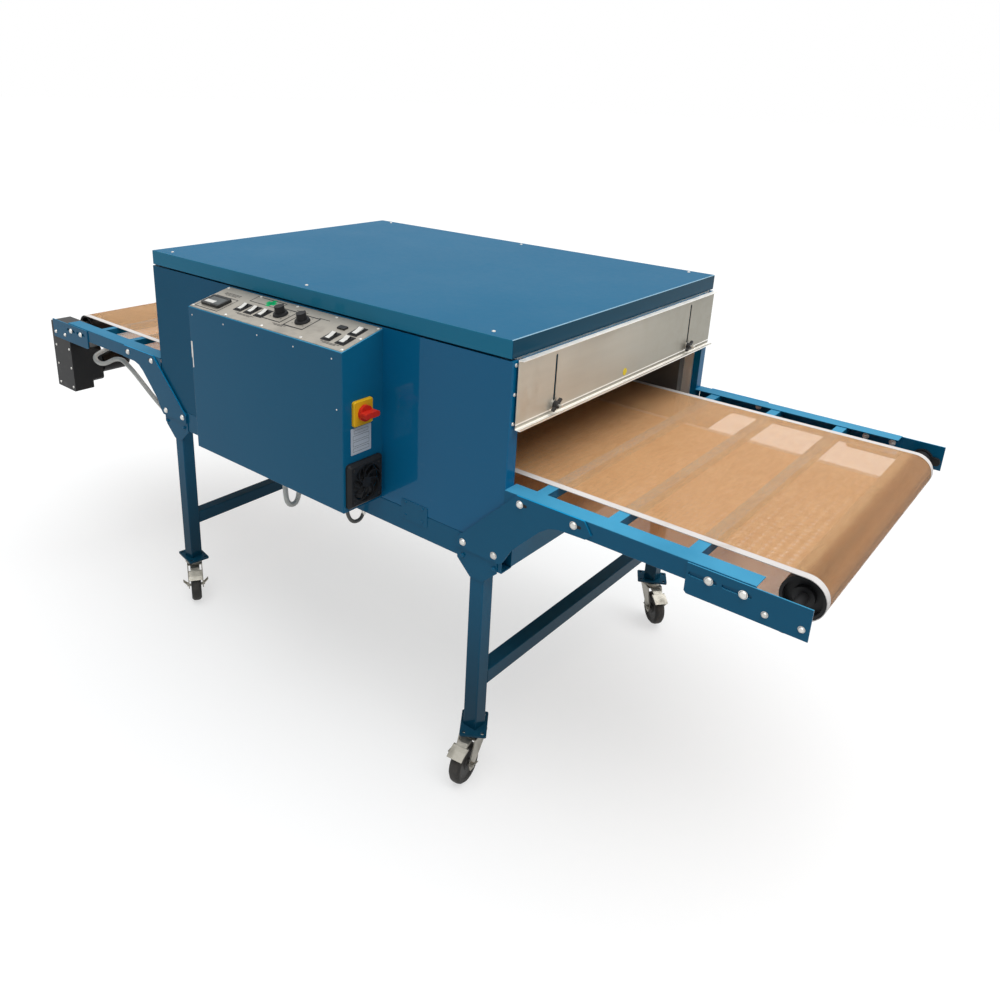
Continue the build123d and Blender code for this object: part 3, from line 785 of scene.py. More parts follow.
@dataclass(frozen=True)
class WheelRubber(Finish):
    """Hard rubber tread about a darker moulded hub, both greyed by floor dust."""

    centre: Place
    axis: Place
    rubber: Colour = (0.022, 0.021, 0.02)
    hub: Colour = (0.03, 0.029, 0.028)
    dust: Colour = (0.11, 0.1, 0.09)
    hub_radius: float = 0.034
    tread_span: Span = (0.0475, 0.0495)

    def paint(self, graph: Graph) -> None:
        """Paints the wheel by the distance from its axle.

        Args:
            graph: the material's nodes.
        """
        kind = "ShaderNodeVectorMath"
        offset = graph.read(kind, 0, {"operation": "SUBTRACT"}, {0: graph.place(), 1: self.centre})
        across = graph.read(kind, 0, {"operation": "CROSS_PRODUCT"}, {0: offset, 1: self.axis})
        radius = graph.read(kind, "Value", {"operation": "LENGTH"}, {0: across})
        hub = 1 - graph.ramp(radius, self.hub_radius - 0.001, self.hub_radius + 0.001)
        tread = graph.ramp(radius, *self.tread_span)
        grime = graph.ramp(graph.noise(45.0, 5.0), 0.35, 0.75)
        fine = graph.noise(500.0, 3.0)
        shade = graph.blend(hub, self.rubber, self.hub)
        shade = graph.blend(grime * 0.35 + tread * 0.3, shade, self.dust)
        graph.set(Base_Color=shade, Roughness=0.6 + grime * 0.15 - hub * 0.12, Specular_IOR_Level=0.35)
        graph.raise_surface(fine + grime * 0.4, 0.00012, 0.4)


def let_go() -> None:
    """Leaves nothing selected and object mode on."""
    if bpy.context.object and bpy.context.object.mode != "OBJECT":
        bpy.ops.object.mode_set(mode="OBJECT")
    bpy.ops.object.select_all(action="DESELECT")


def take(piece: Piece) -> None:
    """Selects one piece alone and makes it active.

    Args:
        piece: the piece to select.
    """
    let_go()
    piece.select_set(True)
    bpy.context.view_layer.objects.active = piece


def finish_mesh(piece: Piece, smooth: float = 32.0) -> None:
    """Merges doubles, turns the faces outward and shades the soft edges smooth up to an angle in degrees.

    Args:
        piece: the piece to finish.
        smooth: the largest angle that is shaded smooth, in degrees.
    """
    take(piece)
    bpy.ops.object.mode_set(mode="EDIT")
    bpy.ops.mesh.select_all(action="SELECT")
    bpy.ops.mesh.remove_doubles(threshold=1e-6)
    bpy.ops.mesh.normals_make_consistent(inside=False)
    bpy.ops.object.mode_set(mode="OBJECT")
    bpy.ops.object.shade_smooth_by_angle(angle=math.radians(smooth))
    let_go()


def turned(name: str, profile: Sequence[Span], sides: int = 20) -> Piece:
    """Draws a turned piece up from a disc by extruding and scaling its top, like a part on a lathe.

    Args:
        name: the piece's name.
        profile: radius and height pairs in mm, from the foot up.
        sides: faces around.

    Returns:
        The piece, on the Z axis.
    """
    let_go()
    radius, height = profile[0]
    bpy.ops.mesh.primitive_circle_add(
        vertices=sides, radius=radius / 1000, fill_type="NGON", location=(0, 0, height / 1000)
    )
    piece = bpy.context.object
    bpy.ops.object.transform_apply(location=True, rotation=False, scale=False)
    bpy.ops.object.mode_set(mode="EDIT")
    bpy.ops.mesh.select_all(action="SELECT")
    for (start, low), (end, high) in zip(profile, profile[1:]):
        bpy.ops.mesh.extrude_region_move(TRANSFORM_OT_translate={"value": (0, 0, (high - low) / 1000)})
        ratio = end / start
        bpy.ops.transform.resize(value=(ratio, ratio, 1), center_override=(0, 0, high / 1000))
    bpy.ops.object.mode_set(mode="OBJECT")
    piece.name = name
    finish_mesh(piece)
    return piece


def start_sheet(width: float, height: float) -> Piece:
    """Draws a flat rectangle about the Z axis, its sides in mm, and leaves it open for editing.

    Args:
        width: its side along X.
        height: its side along Y.

    Returns:
        The piece, open for editing.
    """
    let_go()
    bpy.ops.mesh.primitive_plane_add(size=1)
    piece = bpy.context.object
    bpy.ops.object.mode_set(mode="EDIT")
    bpy.ops.mesh.select_all(action="SELECT")
    bpy.ops.transform.resize(value=(width / 1000, height / 1000, 1))
    return piece


def thicken(piece: Piece, name: str, thickness: float) -> Piece:
    """Extrudes the sheet that is open for editing by a thickness in mm, names it and finishes it.

    Args:
        piece: the sheet.
        name: the piece's name.
        thickness: how far it is extruded.

    Returns:
        The piece.
    """
    bpy.ops.mesh.select_all(action="SELECT")
    bpy.ops.mesh.extrude_region_move(TRANSFORM_OT_translate={"value": (0, 0, thickness / 1000)})
    bpy.ops.object.mode_set(mode="OBJECT")
    piece.name = name
    finish_mesh(piece)
    return piece


def slab(name: str, size: Place, middle: Place = (0, 0, 0), rounding: float = 0.0) -> Piece:
    """Draws a plate from a square by scaling, rounding and extruding it.

    Args:
        name: the piece's name.
        size: its sides in mm.
        middle: the middle of its foot in mm.
        rounding: the corner radius in mm.

    Returns:
        The piece, about the Z axis.
    """
    piece = start_sheet(size[0], size[1])
    bpy.ops.transform.translate(value=tuple(value / 1000 for value in middle))
    if rounding:
        bpy.ops.mesh.bevel(offset=rounding / 1000, segments=4, affect="VERTICES")
    return thicken(piece, name, size[2])


def printed_frame(name: str, width: float, height: float, line: float, ink: float = 0.12) -> Piece:
    """Draws a thin printed outline: a rectangle inset by its line width and opened.

    Args:
        name: the piece's name.
        width: its outer width in mm.
        height: its outer height in mm.
        line: the line's width in mm.
        ink: how far the ink stands up in mm.

    Returns:
        The piece, flat about the Z axis.
    """
    piece = start_sheet(width, height)
    bpy.ops.mesh.inset(thickness=line / 1000)
    bpy.ops.mesh.delete(type="FACE")
    return thicken(piece, name, ink)


def looking(facing: Facing | Vector, turn: float = 0.0) -> Matrix:
    """Gives the turn that sets a piece's Z axis the way it faces, after a turn about that axis in radians."""
    way = Vector(facing.value) if isinstance(facing, Facing) else facing
    return way.to_track_quat("Z", "Y").to_matrix().to_4x4() @ Matrix.Rotation(turn, 4, "Z")


def set_at(place: Place, facing: Facing, turn: float = 0.0) -> Matrix:
    """Gives the matrix that sets a piece at a place in mm, looking the way it faces."""
    return Matrix.Translation(point(*place)) @ looking(facing, turn)


def moved(piece: Piece, matrix: Matrix) -> Piece:
    """Moves a piece's mesh to its place and gives the piece back."""
    piece.data.transform(matrix)
    return piece


def gather(name: str, copies: Sequence[Piece]) -> Piece:
    """Joins like copies on one body into one piece.

    Args:
        name: the joined piece's name.
        copies: the pieces to join.

    Returns:
        The joined piece.
    """
    let_go()
    for piece in copies:
        piece.select_set(True)
    bpy.context.view_layer.objects.active = copies[0]
    bpy.ops.object.join()
    piece = bpy.context.object
    piece.name = name
    piece.data.name = name
    let_go()
    return piece


def throw_away(*patterns: Piece) -> None:
    """Removes the pattern pieces that were only copied from."""
    for pattern in patterns:
        bpy.data.objects.remove(pattern)


def set_out(name: str, pattern: Piece, places: Sequence[Matrix], keep: bool = False) -> Piece:
    """Copies a modelled pattern to each place and joins the copies into one piece.

    Args:
        name: the joined piece's name.
        pattern: the piece to copy, each time with its own mesh.
        places: where the copies go.
        keep: whether the pattern is needed again.

    Returns:
        The joined piece.
    """
    copies = []
    for place in places:
        twin = pattern.copy()
        twin.data = pattern.data.copy()
        bpy.context.collection.objects.link(twin)
        copies.append(moved(twin, place))
    if not keep:
        throw_away(pattern)
    return gather(name, copies)


@dataclass
class FinishBook:
    """Makes each finish once and hands it out by its slot."""

    made: dict[str, bpy.types.Material] = field(default_factory=dict)

    def recipes(self) -> dict[Slot, Finish]:
        """Lists the finish of each slot.

        Returns:
            Each slot's finish, not yet made.
        """
        return {
            Slot.BLUE_PAINT: PowderCoat("blue_powder_coat"),
            Slot.BELT_MESH: MeshBelt("open_mesh_belt"),
            Slot.BELT_TAPE: EdgeTape("edge_tape"),
            Slot.GALVANISED: Galvanised("galvanised_sheet"),
            Slot.DARK_LINER: TunnelLiner("tunnel_liner"),
            Slot.ZINC: Metal("zinc_plate", (0.78, 0.77, 0.74), (0.42, 0.4, 0.36), 0.26),
            Slot.BLACK_PAINT: Moulded(
                "satin_black_paint", (0.012, 0.012, 0.013), (0.034, 0.034, 0.034), 0.42, 600.0
            ),
            Slot.BLACK_PLASTIC: Moulded("black_moulding", (0.01, 0.01, 0.011), (0.03, 0.03, 0.032), 0.5),
            Slot.PANEL_STEEL: Metal(
                "brushed_panel", (0.44, 0.405, 0.35), (0.27, 0.25, 0.22), 0.42, (0.02, 1.0, 1.0), 600.0, 0.5
            ),
            Slot.YELLOW_PLASTIC: Smooth("yellow_moulding", (0.9, 0.5, 0.01), (0.8, 0.42, 0.02), 0.32),
            Slot.RED_PLASTIC: Smooth("red_moulding", (0.72, 0.03, 0.015), (0.6, 0.035, 0.02), 0.3),
            Slot.GREY_CONDUIT: Moulded("grey_conduit", (0.78, 0.77, 0.73), (0.5, 0.49, 0.46), 0.34, 400.0),
            Slot.DARK_CONDUIT: Moulded("dark_conduit", (0.16, 0.155, 0.145), (0.28, 0.27, 0.25), 0.42, 400.0),
        }

    def make_all(self) -> None:
        """Makes every finish."""
        for slot, recipe in self.recipes().items():
            self.made[slot.value] = recipe.make()
            log.info("finish %s", slot.value)


@dataclass
class Bench:
    """What every sub-assembly needs: the loaded frame and the finishes."""

    frame: dict
    finishes: FinishBook

    def coat(self, name: str, material: bpy.types.Material) -> None:
        """Gives a CAD node one finish all over.

        Args:
            name: the node's name.
            material: its finish.
        """
        node = self.frame["nodes"][name]
        if not node.material_slots:
            node.data.materials.append(material)
        for held in node.material_slots:
            held.material = material

    def hand_over(
        self, piece: Piece, slot: Slot, body: str = "machine", film: Finish | None = None
    ) -> None:
        """Dresses a new piece, sets it on its body and reports it.

        Args:
            piece: the new piece.
            slot: the material slot that it belongs to.
            body: the body that it rides on.
            film: a finish of its own, or None for the slot's finish.
        """
        piece.data.materials.clear()
        piece.data.materials.append(film.make() if film else self.finishes.made[slot.value])
        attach(piece, body)
        log.info("piece %s on %s", piece.name, body)


@dataclass
class Studio:
    """The camera, the pale floor and the lamps."""

    eye: Place = (1.591537, -1.732319, 1.563126)
    yaw: float = 39.80
    pitch: float = 19.89
    roll: float = 1.856
    focal: float = 859.89
    principal: Span = (445.714, 398.065)
    picture: float = 1000.0
    sensor: float = 36.0
    floor_half: float = 60.0
    floor_drop: float = 0.0005
    floor_shade: Colour = (0.55, 0.55, 0.55)
    seen_shade: Colour = (0.42, 0.42, 0.42)
    seen_glow: Colour = (0.62, 0.62, 0.62)
    lamp_energy: float = 2.95
    lamp_spread: float = 70.0
    lamp_tilt: Span = (-4.0, 14.0)
    fill_shade: Colour = (0.17, 0.19, 0.2)

    def set_camera(self) -> None:
        """Sets the camera at the photograph's place and angle."""
        data = bpy.data.cameras.new("camera")
        camera = bpy.data.objects.new("camera", data)
        bpy.context.collection.objects.link(camera)
        yaw, pitch, roll = (math.radians(value) for value in (self.yaw, self.pitch, self.roll))
        forward = Vector((-math.sin(yaw) * math.cos(pitch), math.cos(yaw) * math.cos(pitch), -math.sin(pitch)))
        level = forward.cross(Vector((0, 0, 1))).normalized()
        upright = level.cross(forward)
        right = level * math.cos(roll) + upright * math.sin(roll)
        turn = Matrix((right, right.cross(forward), -forward)).transposed().to_4x4()
        camera.matrix_world = Matrix.Translation(self.eye) @ turn
        data.sensor_width = self.sensor
        data.lens = self.focal / self.picture * self.sensor
        data.shift_x = 0.5 - self.principal[0] / self.picture
        data.shift_y = self.principal[1] / self.picture - 0.5
        data.clip_end = 200.0
        bpy.context.scene.camera = camera

    def lay_floor(self) -> None:
        """Lays the pale floor, which keeps the machine's shadow."""
        let_go()
        bpy.ops.mesh.primitive_plane_add(size=self.floor_half * 2, location=(0, 0, -self.floor_drop))
        floor = bpy.context.object
        floor.name = "studio_floor"
        bpy.ops.object.transform_apply(location=True, rotation=False, scale=False)
        material = bpy.data.materials.new("pale_floor")
        graph = Graph(material)
        seen = graph.seen()
        graph.set(
            Base_Color=graph.blend(seen, self.floor_shade, self.seen_shade),
            Roughness=0.9,
            Specular_IOR_Level=0.0,
            Emission_Color=graph.blend(seen, (0.0, 0.0, 0.0), self.seen_glow),
            Emission_Strength=1.0,
        )
        floor.data.materials.append(material)
        floor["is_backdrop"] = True
        let_go()

    def light(self) -> None:
        """Hangs one broad soft lamp overhead and fills in from the surroundings."""
        bpy.context.scene.view_settings.view_transform = "Standard"
        lamp = bpy.data.lights.new("overhead", "SUN")
        lamp.energy = self.lamp_energy
        lamp.angle = math.radians(self.lamp_spread)
        overhead = bpy.data.objects.new("overhead", lamp)
        overhead.rotation_euler = (*(math.radians(tilt) for tilt in self.lamp_tilt), 0)
        bpy.context.collection.objects.link(overhead)
        world = bpy.data.worlds.new("surroundings")
        bpy.context.scene.world = world
        graph = Graph(world, "Background")
        graph.set(Color=graph.blend(graph.seen(), self.fill_shade, (1.0, 1.0, 1.0)), Strength=1.0)


@dataclass
class Conduit:
    """One flexible conduit: a smooth core on its route, with the rings of its wound wall."""

    name: str
    route: tuple[Place, ...]
    radius: float
    length: float
    slot: Slot
    ring_pitch: float
    ring_seat: float = 0.97
    ring_thickness: float = 0.26
    ring_stretch: float = 1.25

    def draw_core(self) -> Piece:
        """Draws the core as one smooth curve through the route's control points.

        Returns:
            The core's curve.
        """
        data = bpy.data.curves.new(f"{self.name}_core", "CURVE")
        data.dimensions = "3D"
        data.resolution_u = 10
        data.bevel_depth = self.radius / 1000
        data.bevel_resolution = 5
        data.use_fill_caps = True
        spline = data.splines.new("NURBS")
        spline.points.add(len(self.route) - 1)
        for held, place in zip(spline.points, self.route):
            held.co = (*point(*place), 1.0)
        spline.order_u = 3
        spline.use_endpoint_u = True
        core = bpy.data.objects.new(f"{self.name}_core", data)
        bpy.context.collection.objects.link(core)
        return core

    def line(self, core: Piece) -> list[Vector]:
        """Reads the points of the core's own smooth line.

        Args:
            core: the core's curve.

        Returns:
            The line's points in order.
        """
        depth = core.data.bevel_depth
        core.data.bevel_depth = 0.0
        bpy.context.view_layer.update()
        plain = bpy.data.meshes.new_from_object(core)
        points = [held.co.copy() for held in plain.vertices]
        bpy.data.meshes.remove(plain)
        core.data.bevel_depth = depth
        return points

    def steps(self, points: Sequence[Vector]) -> list[Matrix]:
        """Walks the line and gives a ring's place at each even step.

        Args:
            points: the line's points in order.

        Returns:
            The places, with Z along the line.
        """
        pitch = self.ring_pitch / 1000
        found = []
        due = pitch / 2
        walked = 0.0
        for start, end in zip(points, points[1:]):
            span = (end - start).length
            while span and due <= walked + span:
                where = start.lerp(end, (due - walked) / span)
                found.append(Matrix.Translation(where) @ looking((end - start).normalized()))
                due += pitch
            walked += span
        return found

    def draw_rings(self, points: Sequence[Vector]) -> Piece:
        """Models one ring and copies it along the line.

        Args:
            points: the line's points in order.

        Returns:
            The rings as one piece.
        """
        let_go()
        bpy.ops.mesh.primitive_torus_add(
            major_segments=14,
            minor_segments=5,
            major_radius=self.radius * self.ring_seat / 1000,
            minor_radius=self.ring_pitch * self.ring_thickness / 1000,
        )
        pattern = bpy.context.object
        bpy.ops.object.mode_set(mode="EDIT")
        bpy.ops.mesh.select_all(action="SELECT")
        bpy.ops.transform.resize(value=(1, 1, self.ring_stretch))
        bpy.ops.object.mode_set(mode="OBJECT")
        finish_mesh(pattern, 60.0)
        return set_out(f"{self.name}_rings", pattern, self.steps(points))

    def draw_unions(self, points: Sequence[Vector]) -> Piece:
        """Sets a tapered union at each end, where the conduit goes into the machine.

        Args:
            points: the line's points in order.

        Returns:
            The two unions as one piece.
        """
        big = self.radius + 2.2
        profile = [(big + 2.5, 0.0), (big + 2.5, 5.0), (big + 0.5, 5.6), (big, 16.0), (self.radius + 0.9, 21.0)]
        pattern = turned("union", profile, 12)
        ends = ((points[0], points[1]), (points[-1], points[-2]))
        places = [Matrix.Translation(end) @ looking((inner - end).normalized()) for end, inner in ends]
        return set_out(f"{self.name}_unions", pattern, places)

    def build(self, bench: Bench) -> None:
        """Args:
            bench: the bench that it is dressed at.
        """
        core = self.draw_core()
        points = self.line(core)
        rings = self.draw_rings(points)
        unions = self.draw_unions(points)
        bench.hand_over(core, self.slot)
        bench.hand_over(rings, self.slot)
        bench.hand_over(unions, Slot.ZINC)
        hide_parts(self.name)


@dataclass
class Section:
    """A stretch of the work at the bench."""

    bench: Bench


@dataclass
class Finishing(Section):
    """Gives every carried-over CAD node its finish."""

    skip: tuple[str, ...] = ("motor_conduit", "grey_box_conduit", "dark_box_conduit")

    def own_finishes(self) -> tuple[tuple[Finish, tuple[str, ...]], ...]:
        """Lists the finishes that differ from their slot's, each with the nodes that wear it.

        Returns:
            Pairs of a finish and its nodes' names.
        """
        return (
            (SwitchPlastic("switch_plastic"), ("panel_switches",)),
            (StudAndKnob("stud_and_knob"), ("gate_knobs",)),
            (GateSheet("gate_sheet"), ("gate_right", "gate_left")),
            # Painted shade: a darker copy of the zinc for the caster forks, which stand in shade.
            (
                Metal("shaded_fork_zinc", (0.42, 0.4, 0.35), (0.2, 0.19, 0.16), 0.34, metallic=0.85),
                tuple(f"caster_fork_{corner}" for corner in CORNERS),
            ),
            # Painted sheen on the upward faces of the rails, slats, end plates and box.
            (
                PowderCoat("rail_powder_coat", top=(0.07, 0.37, 0.6)),
                ("wing_rails", "belt_slats", "end_plates", "control_box"),
            ),
            (
                PowderCoat(
                    "housing_powder_coat", (0.003, 0.098, 0.19), (0.007, 0.13, 0.25), lit=(0.003, 0.15, 0.32),
                    side_gloss=0.3, coat_roughness=0.03, coat_left=0.2,
                ),
                ("side_panels",),
            ),
            (LidCoat("lid_powder_coat", side_gloss=0.12), ("lid",)),
            # Painted sheen on all the gussets' upward faces.
            (
                PowderCoat("gusset_powder_coat", top=(0.0, 0.33, 0.66), top_span=(-3.0, -2.0)),
                ("gusset_plates",),
            ),
        )

    def wheel_finish(self, corner: str) -> Finish:
        """Fits the rubber's finish to a wheel's own middle and its joint's axis.

        Args:
            corner: the wheel's corner.

        Returns:
            The finish.
        """
        axes = {joint.get("name"): tuple(joint["axis"]) for joint in self.bench.frame["joints"]}
        low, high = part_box(f"caster_wheel_{corner}")
        centre = tuple((a + b) / 2 for a, b in zip(low, high))
        return WheelRubber(f"wheel_rubber_{corner}", centre, axes[f"wheel_{corner}"])

    def build(self) -> None:
        """Dresses every node by its slot in the record, or in its own finish."""
        own = {f"caster_wheel_{corner}": self.wheel_finish(corner).make() for corner in CORNERS}
        for recipe, nodes in self.own_finishes():
            own.update(dict.fromkeys(nodes, recipe.make()))
        for part in self.bench.frame["record"]["subparts"]:
            name, slot = part["node"], part["material_slot"]
            if name not in self.skip:
                self.bench.coat(name, own.get(name) or self.bench.finishes.made[slot])
                log.info("node %s in %s", name, slot)


@dataclass(frozen=True)
class Row:
    """Screws of one kind on one face, at every crossing of their places in mm; a drop is from the lid's top."""

    name: str
    kind: str
    facing: Facing
    along: tuple[float, ...]
    across: tuple[float, ...]
    drops: tuple[float, ...]
    slot: Slot = Slot.ZINC
    extra: tuple[Place, ...] = ()

    def places(self) -> list[Place]:
        """Gives each screw's place."""
        grid = [(x, y, LID_TOP - drop) for x in self.along for y in self.across for drop in self.drops]
        return grid + list(self.extra)


# How far the fan guard's screws stand from its middle, along and up, in mm.
FAN_SCREW = 39.5

SCREW_ROWS = (
    Row("lid_screws", "pan", Facing.UP, (-569, 0, 569), (-443, 443), (0,)),
    Row("right_flange_screws", "pan", Facing.RIGHT, (638,), (-456, 456), (53, 115, 178)),
    Row("left_flange_screws", "pan", Facing.LEFT, (-638,), (-456, 456), (53, 115, 178)),
    Row(
        "box_face_screws", "rivet", Facing.FRONT, (-266, -137, -7, 122, 249), (BOX_FRONT,), (97,),
        extra=((263, BOX_FRONT, LID_TOP - 211),),
    ),
    Row("joint_plate_screws", "painted", Facing.FRONT, (358, 411), (-468.5,), (447.5, 480), Slot.BLUE_PAINT),
    Row("cover_screws", "pan", Facing.FRONT, (-1288, -1201), (-469.5,), (417, 484, 552)),
    Row(
        "fan_guard_screws", "painted", Facing.RIGHT, (294,),
        (FAN_MIDDLE[0] - FAN_SCREW, FAN_MIDDLE[0] + FAN_SCREW),
        (LID_TOP - FAN_MIDDLE[1] + FAN_SCREW, LID_TOP - FAN_MIDDLE[1] - FAN_SCREW), Slot.BLACK_PLASTIC,
    ),
)


@dataclass
class Fastenings(Section):
    """All bolts, nuts and screws, each kind modelled once and copied to its places."""

    rail_face: float = 469.5
    plate_face: float = 472.5
    gusset_face: float = 473.5
    sheet: float = 2.0
    slot_drop: float = 344.5
    upper_bolts: tuple[Span, ...] = ((680.3, 338.4), (809.4, 338.4))
    lower_bolts: tuple[Span, ...] = ((535.9, 481.2), (621.3, 481.2))
    slot_bolts: tuple[float, ...] = (1090, 1153, -1103, -1166)
    bearing_bolts: tuple[float, ...] = (1194, 1256, -1209, -1271)
    bearing_drop: float = 366.0
    bracket_bolts: tuple[float, ...] = (535.5, 621.5, -535.5, -621.5)
    bracket_drop: float = 515.0
    # Painted shadows: where the thin black plates for the dark insides of the gussets' slots go.
    slot_marks: tuple[float, ...] = (688, 817, -688, -817)
    mark_drop: float = 338.4
    turn_step: float = 0.7

    def domed_bolt(self, radius: float) -> Piece:
        """Models a domed bolt head on its washer.

        Args:
            radius: the head's radius in mm.

        Returns:
            The bolt, looking up the Z axis.
        """
        profile = [
            (radius * 1.12, -0.3), (radius * 1.12, 0.9), (radius, 1.0), (radius * 0.98, 2.0),
            (radius * 0.86, 3.6), (radius * 0.62, 4.9), (radius * 0.3, 5.6), (radius * 0.05, 5.75),
        ]
        return turned("domed_bolt", profile)

    def pan_screw(self, radius: float = 4.2) -> Piece:
        """Models a pan-head screw with a cross recess.

        Args:
            radius: the head's radius in mm.

        Returns:
            The screw, looking up the Z axis.
        """
        dome = [(radius * 0.88, 1.9), (radius * 0.6, 2.4), (radius * 0.1, 2.5)]
        screw = turned("pan_screw", [(radius, -0.3), (radius, 1.1), *dome], 18)
        arms = [slab("arm", size, (0, 0, 1.2)) for size in ((4.4, 1.0, 3), (1.0, 4.4, 3))]
        for arm in arms:
            take(screw)
            cut = screw.modifiers.new("cross", "BOOLEAN")
            cut.operation = "DIFFERENCE"
            cut.solver = "EXACT"
            cut.object = arm
            bpy.ops.object.modifier_apply(modifier=cut.name)
        throw_away(*arms)
        let_go()
        return screw

    def hex_nut(self, radius: float = 7.2) -> Piece:
        """Models a hexagon nut with its washer and the bolt's end.

        Args:
            radius: the nut's radius over its corners in mm.

        Returns:
            The nut, looking up the Z axis.
        """
        washer = turned("washer", [(radius * 1.15, -0.2), (radius * 1.15, 1.2)], 20)
        nut = turned("nut", [(radius, 1.2), (radius, 6.4), (radius * 0.88, 7.0)], 6)
        end = turned("end", [(radius * 0.55, 7.0), (radius * 0.55, 9.6), (radius * 0.45, 10.2)], 14)
        return gather("hex_nut", [washer, nut, end])

    def spread(
        self, name: str, pattern: Piece, places: Sequence[Place], facing: Facing, slot: Slot = Slot.ZINC
    ) -> None:
        """Copies one fastening to its places, each turned a little further, and joins the copies.

        Args:
            name: the joined piece's name.
            pattern: the fastening, looking up its own Z axis.
            places: places in mm from the housing's middle and the floor.
            facing: the way the heads look.
            slot: the material slot of its finish.
        """
        matrices = [set_at(place, facing, self.turn_step * number) for number, place in enumerate(places)]
        self.bench.hand_over(set_out(name, pattern, matrices, keep=True), slot)

    def both_sides(self) -> None:
        """Sets the bolts of the gussets, the end plates and the leg brackets, front and rear alike, and the
        painted shadows of the gussets' slots.
        """
        bolt = self.domed_bolt(7.6)
        small = self.domed_bolt(5.6)
        leg_bolt = self.domed_bolt(5.2)
        nut = self.hex_nut()
        # A thin black plate painted as the shadow inside a slot beside a gusset bolt.
        mark = slab("slot_shadow_mark", (20, 7, 0.12), rounding=3.4)
        slot_holes = [(x, self.slot_drop) for x in self.slot_bolts]
        gusset_holes = [(x * way, drop) for x, drop in self.upper_bolts + self.lower_bolts for way in (1, -1)]
        nut_holes = [(x * way, drop) for way in (1, -1) for x, drop in self.upper_bolts] + slot_holes
        bearing_holes = [(x, self.bearing_drop) for x in self.bearing_bolts]
        bracket_holes = [(x, self.bracket_drop) for x in self.bracket_bolts]
        for side, facing, inward in ((-1, Facing.FRONT, Facing.REAR), (1, Facing.REAR, Facing.FRONT)):
            word = facing.name.lower()
            for kind, pattern, holes, face, way, slot in (
                ("gusset_bolts", bolt, gusset_holes, self.gusset_face, facing, Slot.ZINC),
                ("slot_bolts", bolt, slot_holes, self.plate_face, facing, Slot.ZINC),
                ("bearing_bolts", small, bearing_holes, self.plate_face, facing, Slot.ZINC),
                ("rail_nuts", nut, nut_holes, self.rail_face - self.sheet, inward, Slot.ZINC),
                ("bracket_bolts", leg_bolt, bracket_holes, self.rail_face, facing, Slot.BLUE_PAINT),
            ):
                places = [(x, face * side, LID_TOP - drop) for x, drop in holes]
                self.spread(f"{word}_{kind}", pattern, places, way, slot)
            # Painted shadows of the gussets' slots.
            height = LID_TOP - self.mark_drop
            ends = [set_at((x, self.gusset_face * side, height), facing) for x in self.slot_marks]
            marks = set_out(f"{word}_gusset_slots", mark, ends, keep=True)
            self.bench.hand_over(marks, Slot.BLACK_PLASTIC)
        throw_away(bolt, small, leg_bolt, nut, mark)

    def build(self) -> None:
        """Builds every fastening."""
        self.both_sides()
        painted = [(3.6, -0.2), (3.6, 0.8), (3.0, 1.6), (1.6, 2.0), (0.3, 2.1)]
        rivet = [(1.9, -0.2), (1.9, 0.4), (1.4, 0.9), (0.6, 1.2), (0.15, 1.25)]
        kinds = {
            "pan": self.pan_screw(),
            "painted": turned("painted_screw", painted, 14),
            "rivet": turned("rivet", rivet, 12),
        }
        for row in SCREW_ROWS:
            self.spread(row.name, kinds[row.kind], row.places(), row.facing, row.slot)
        throw_away(*kinds.values())


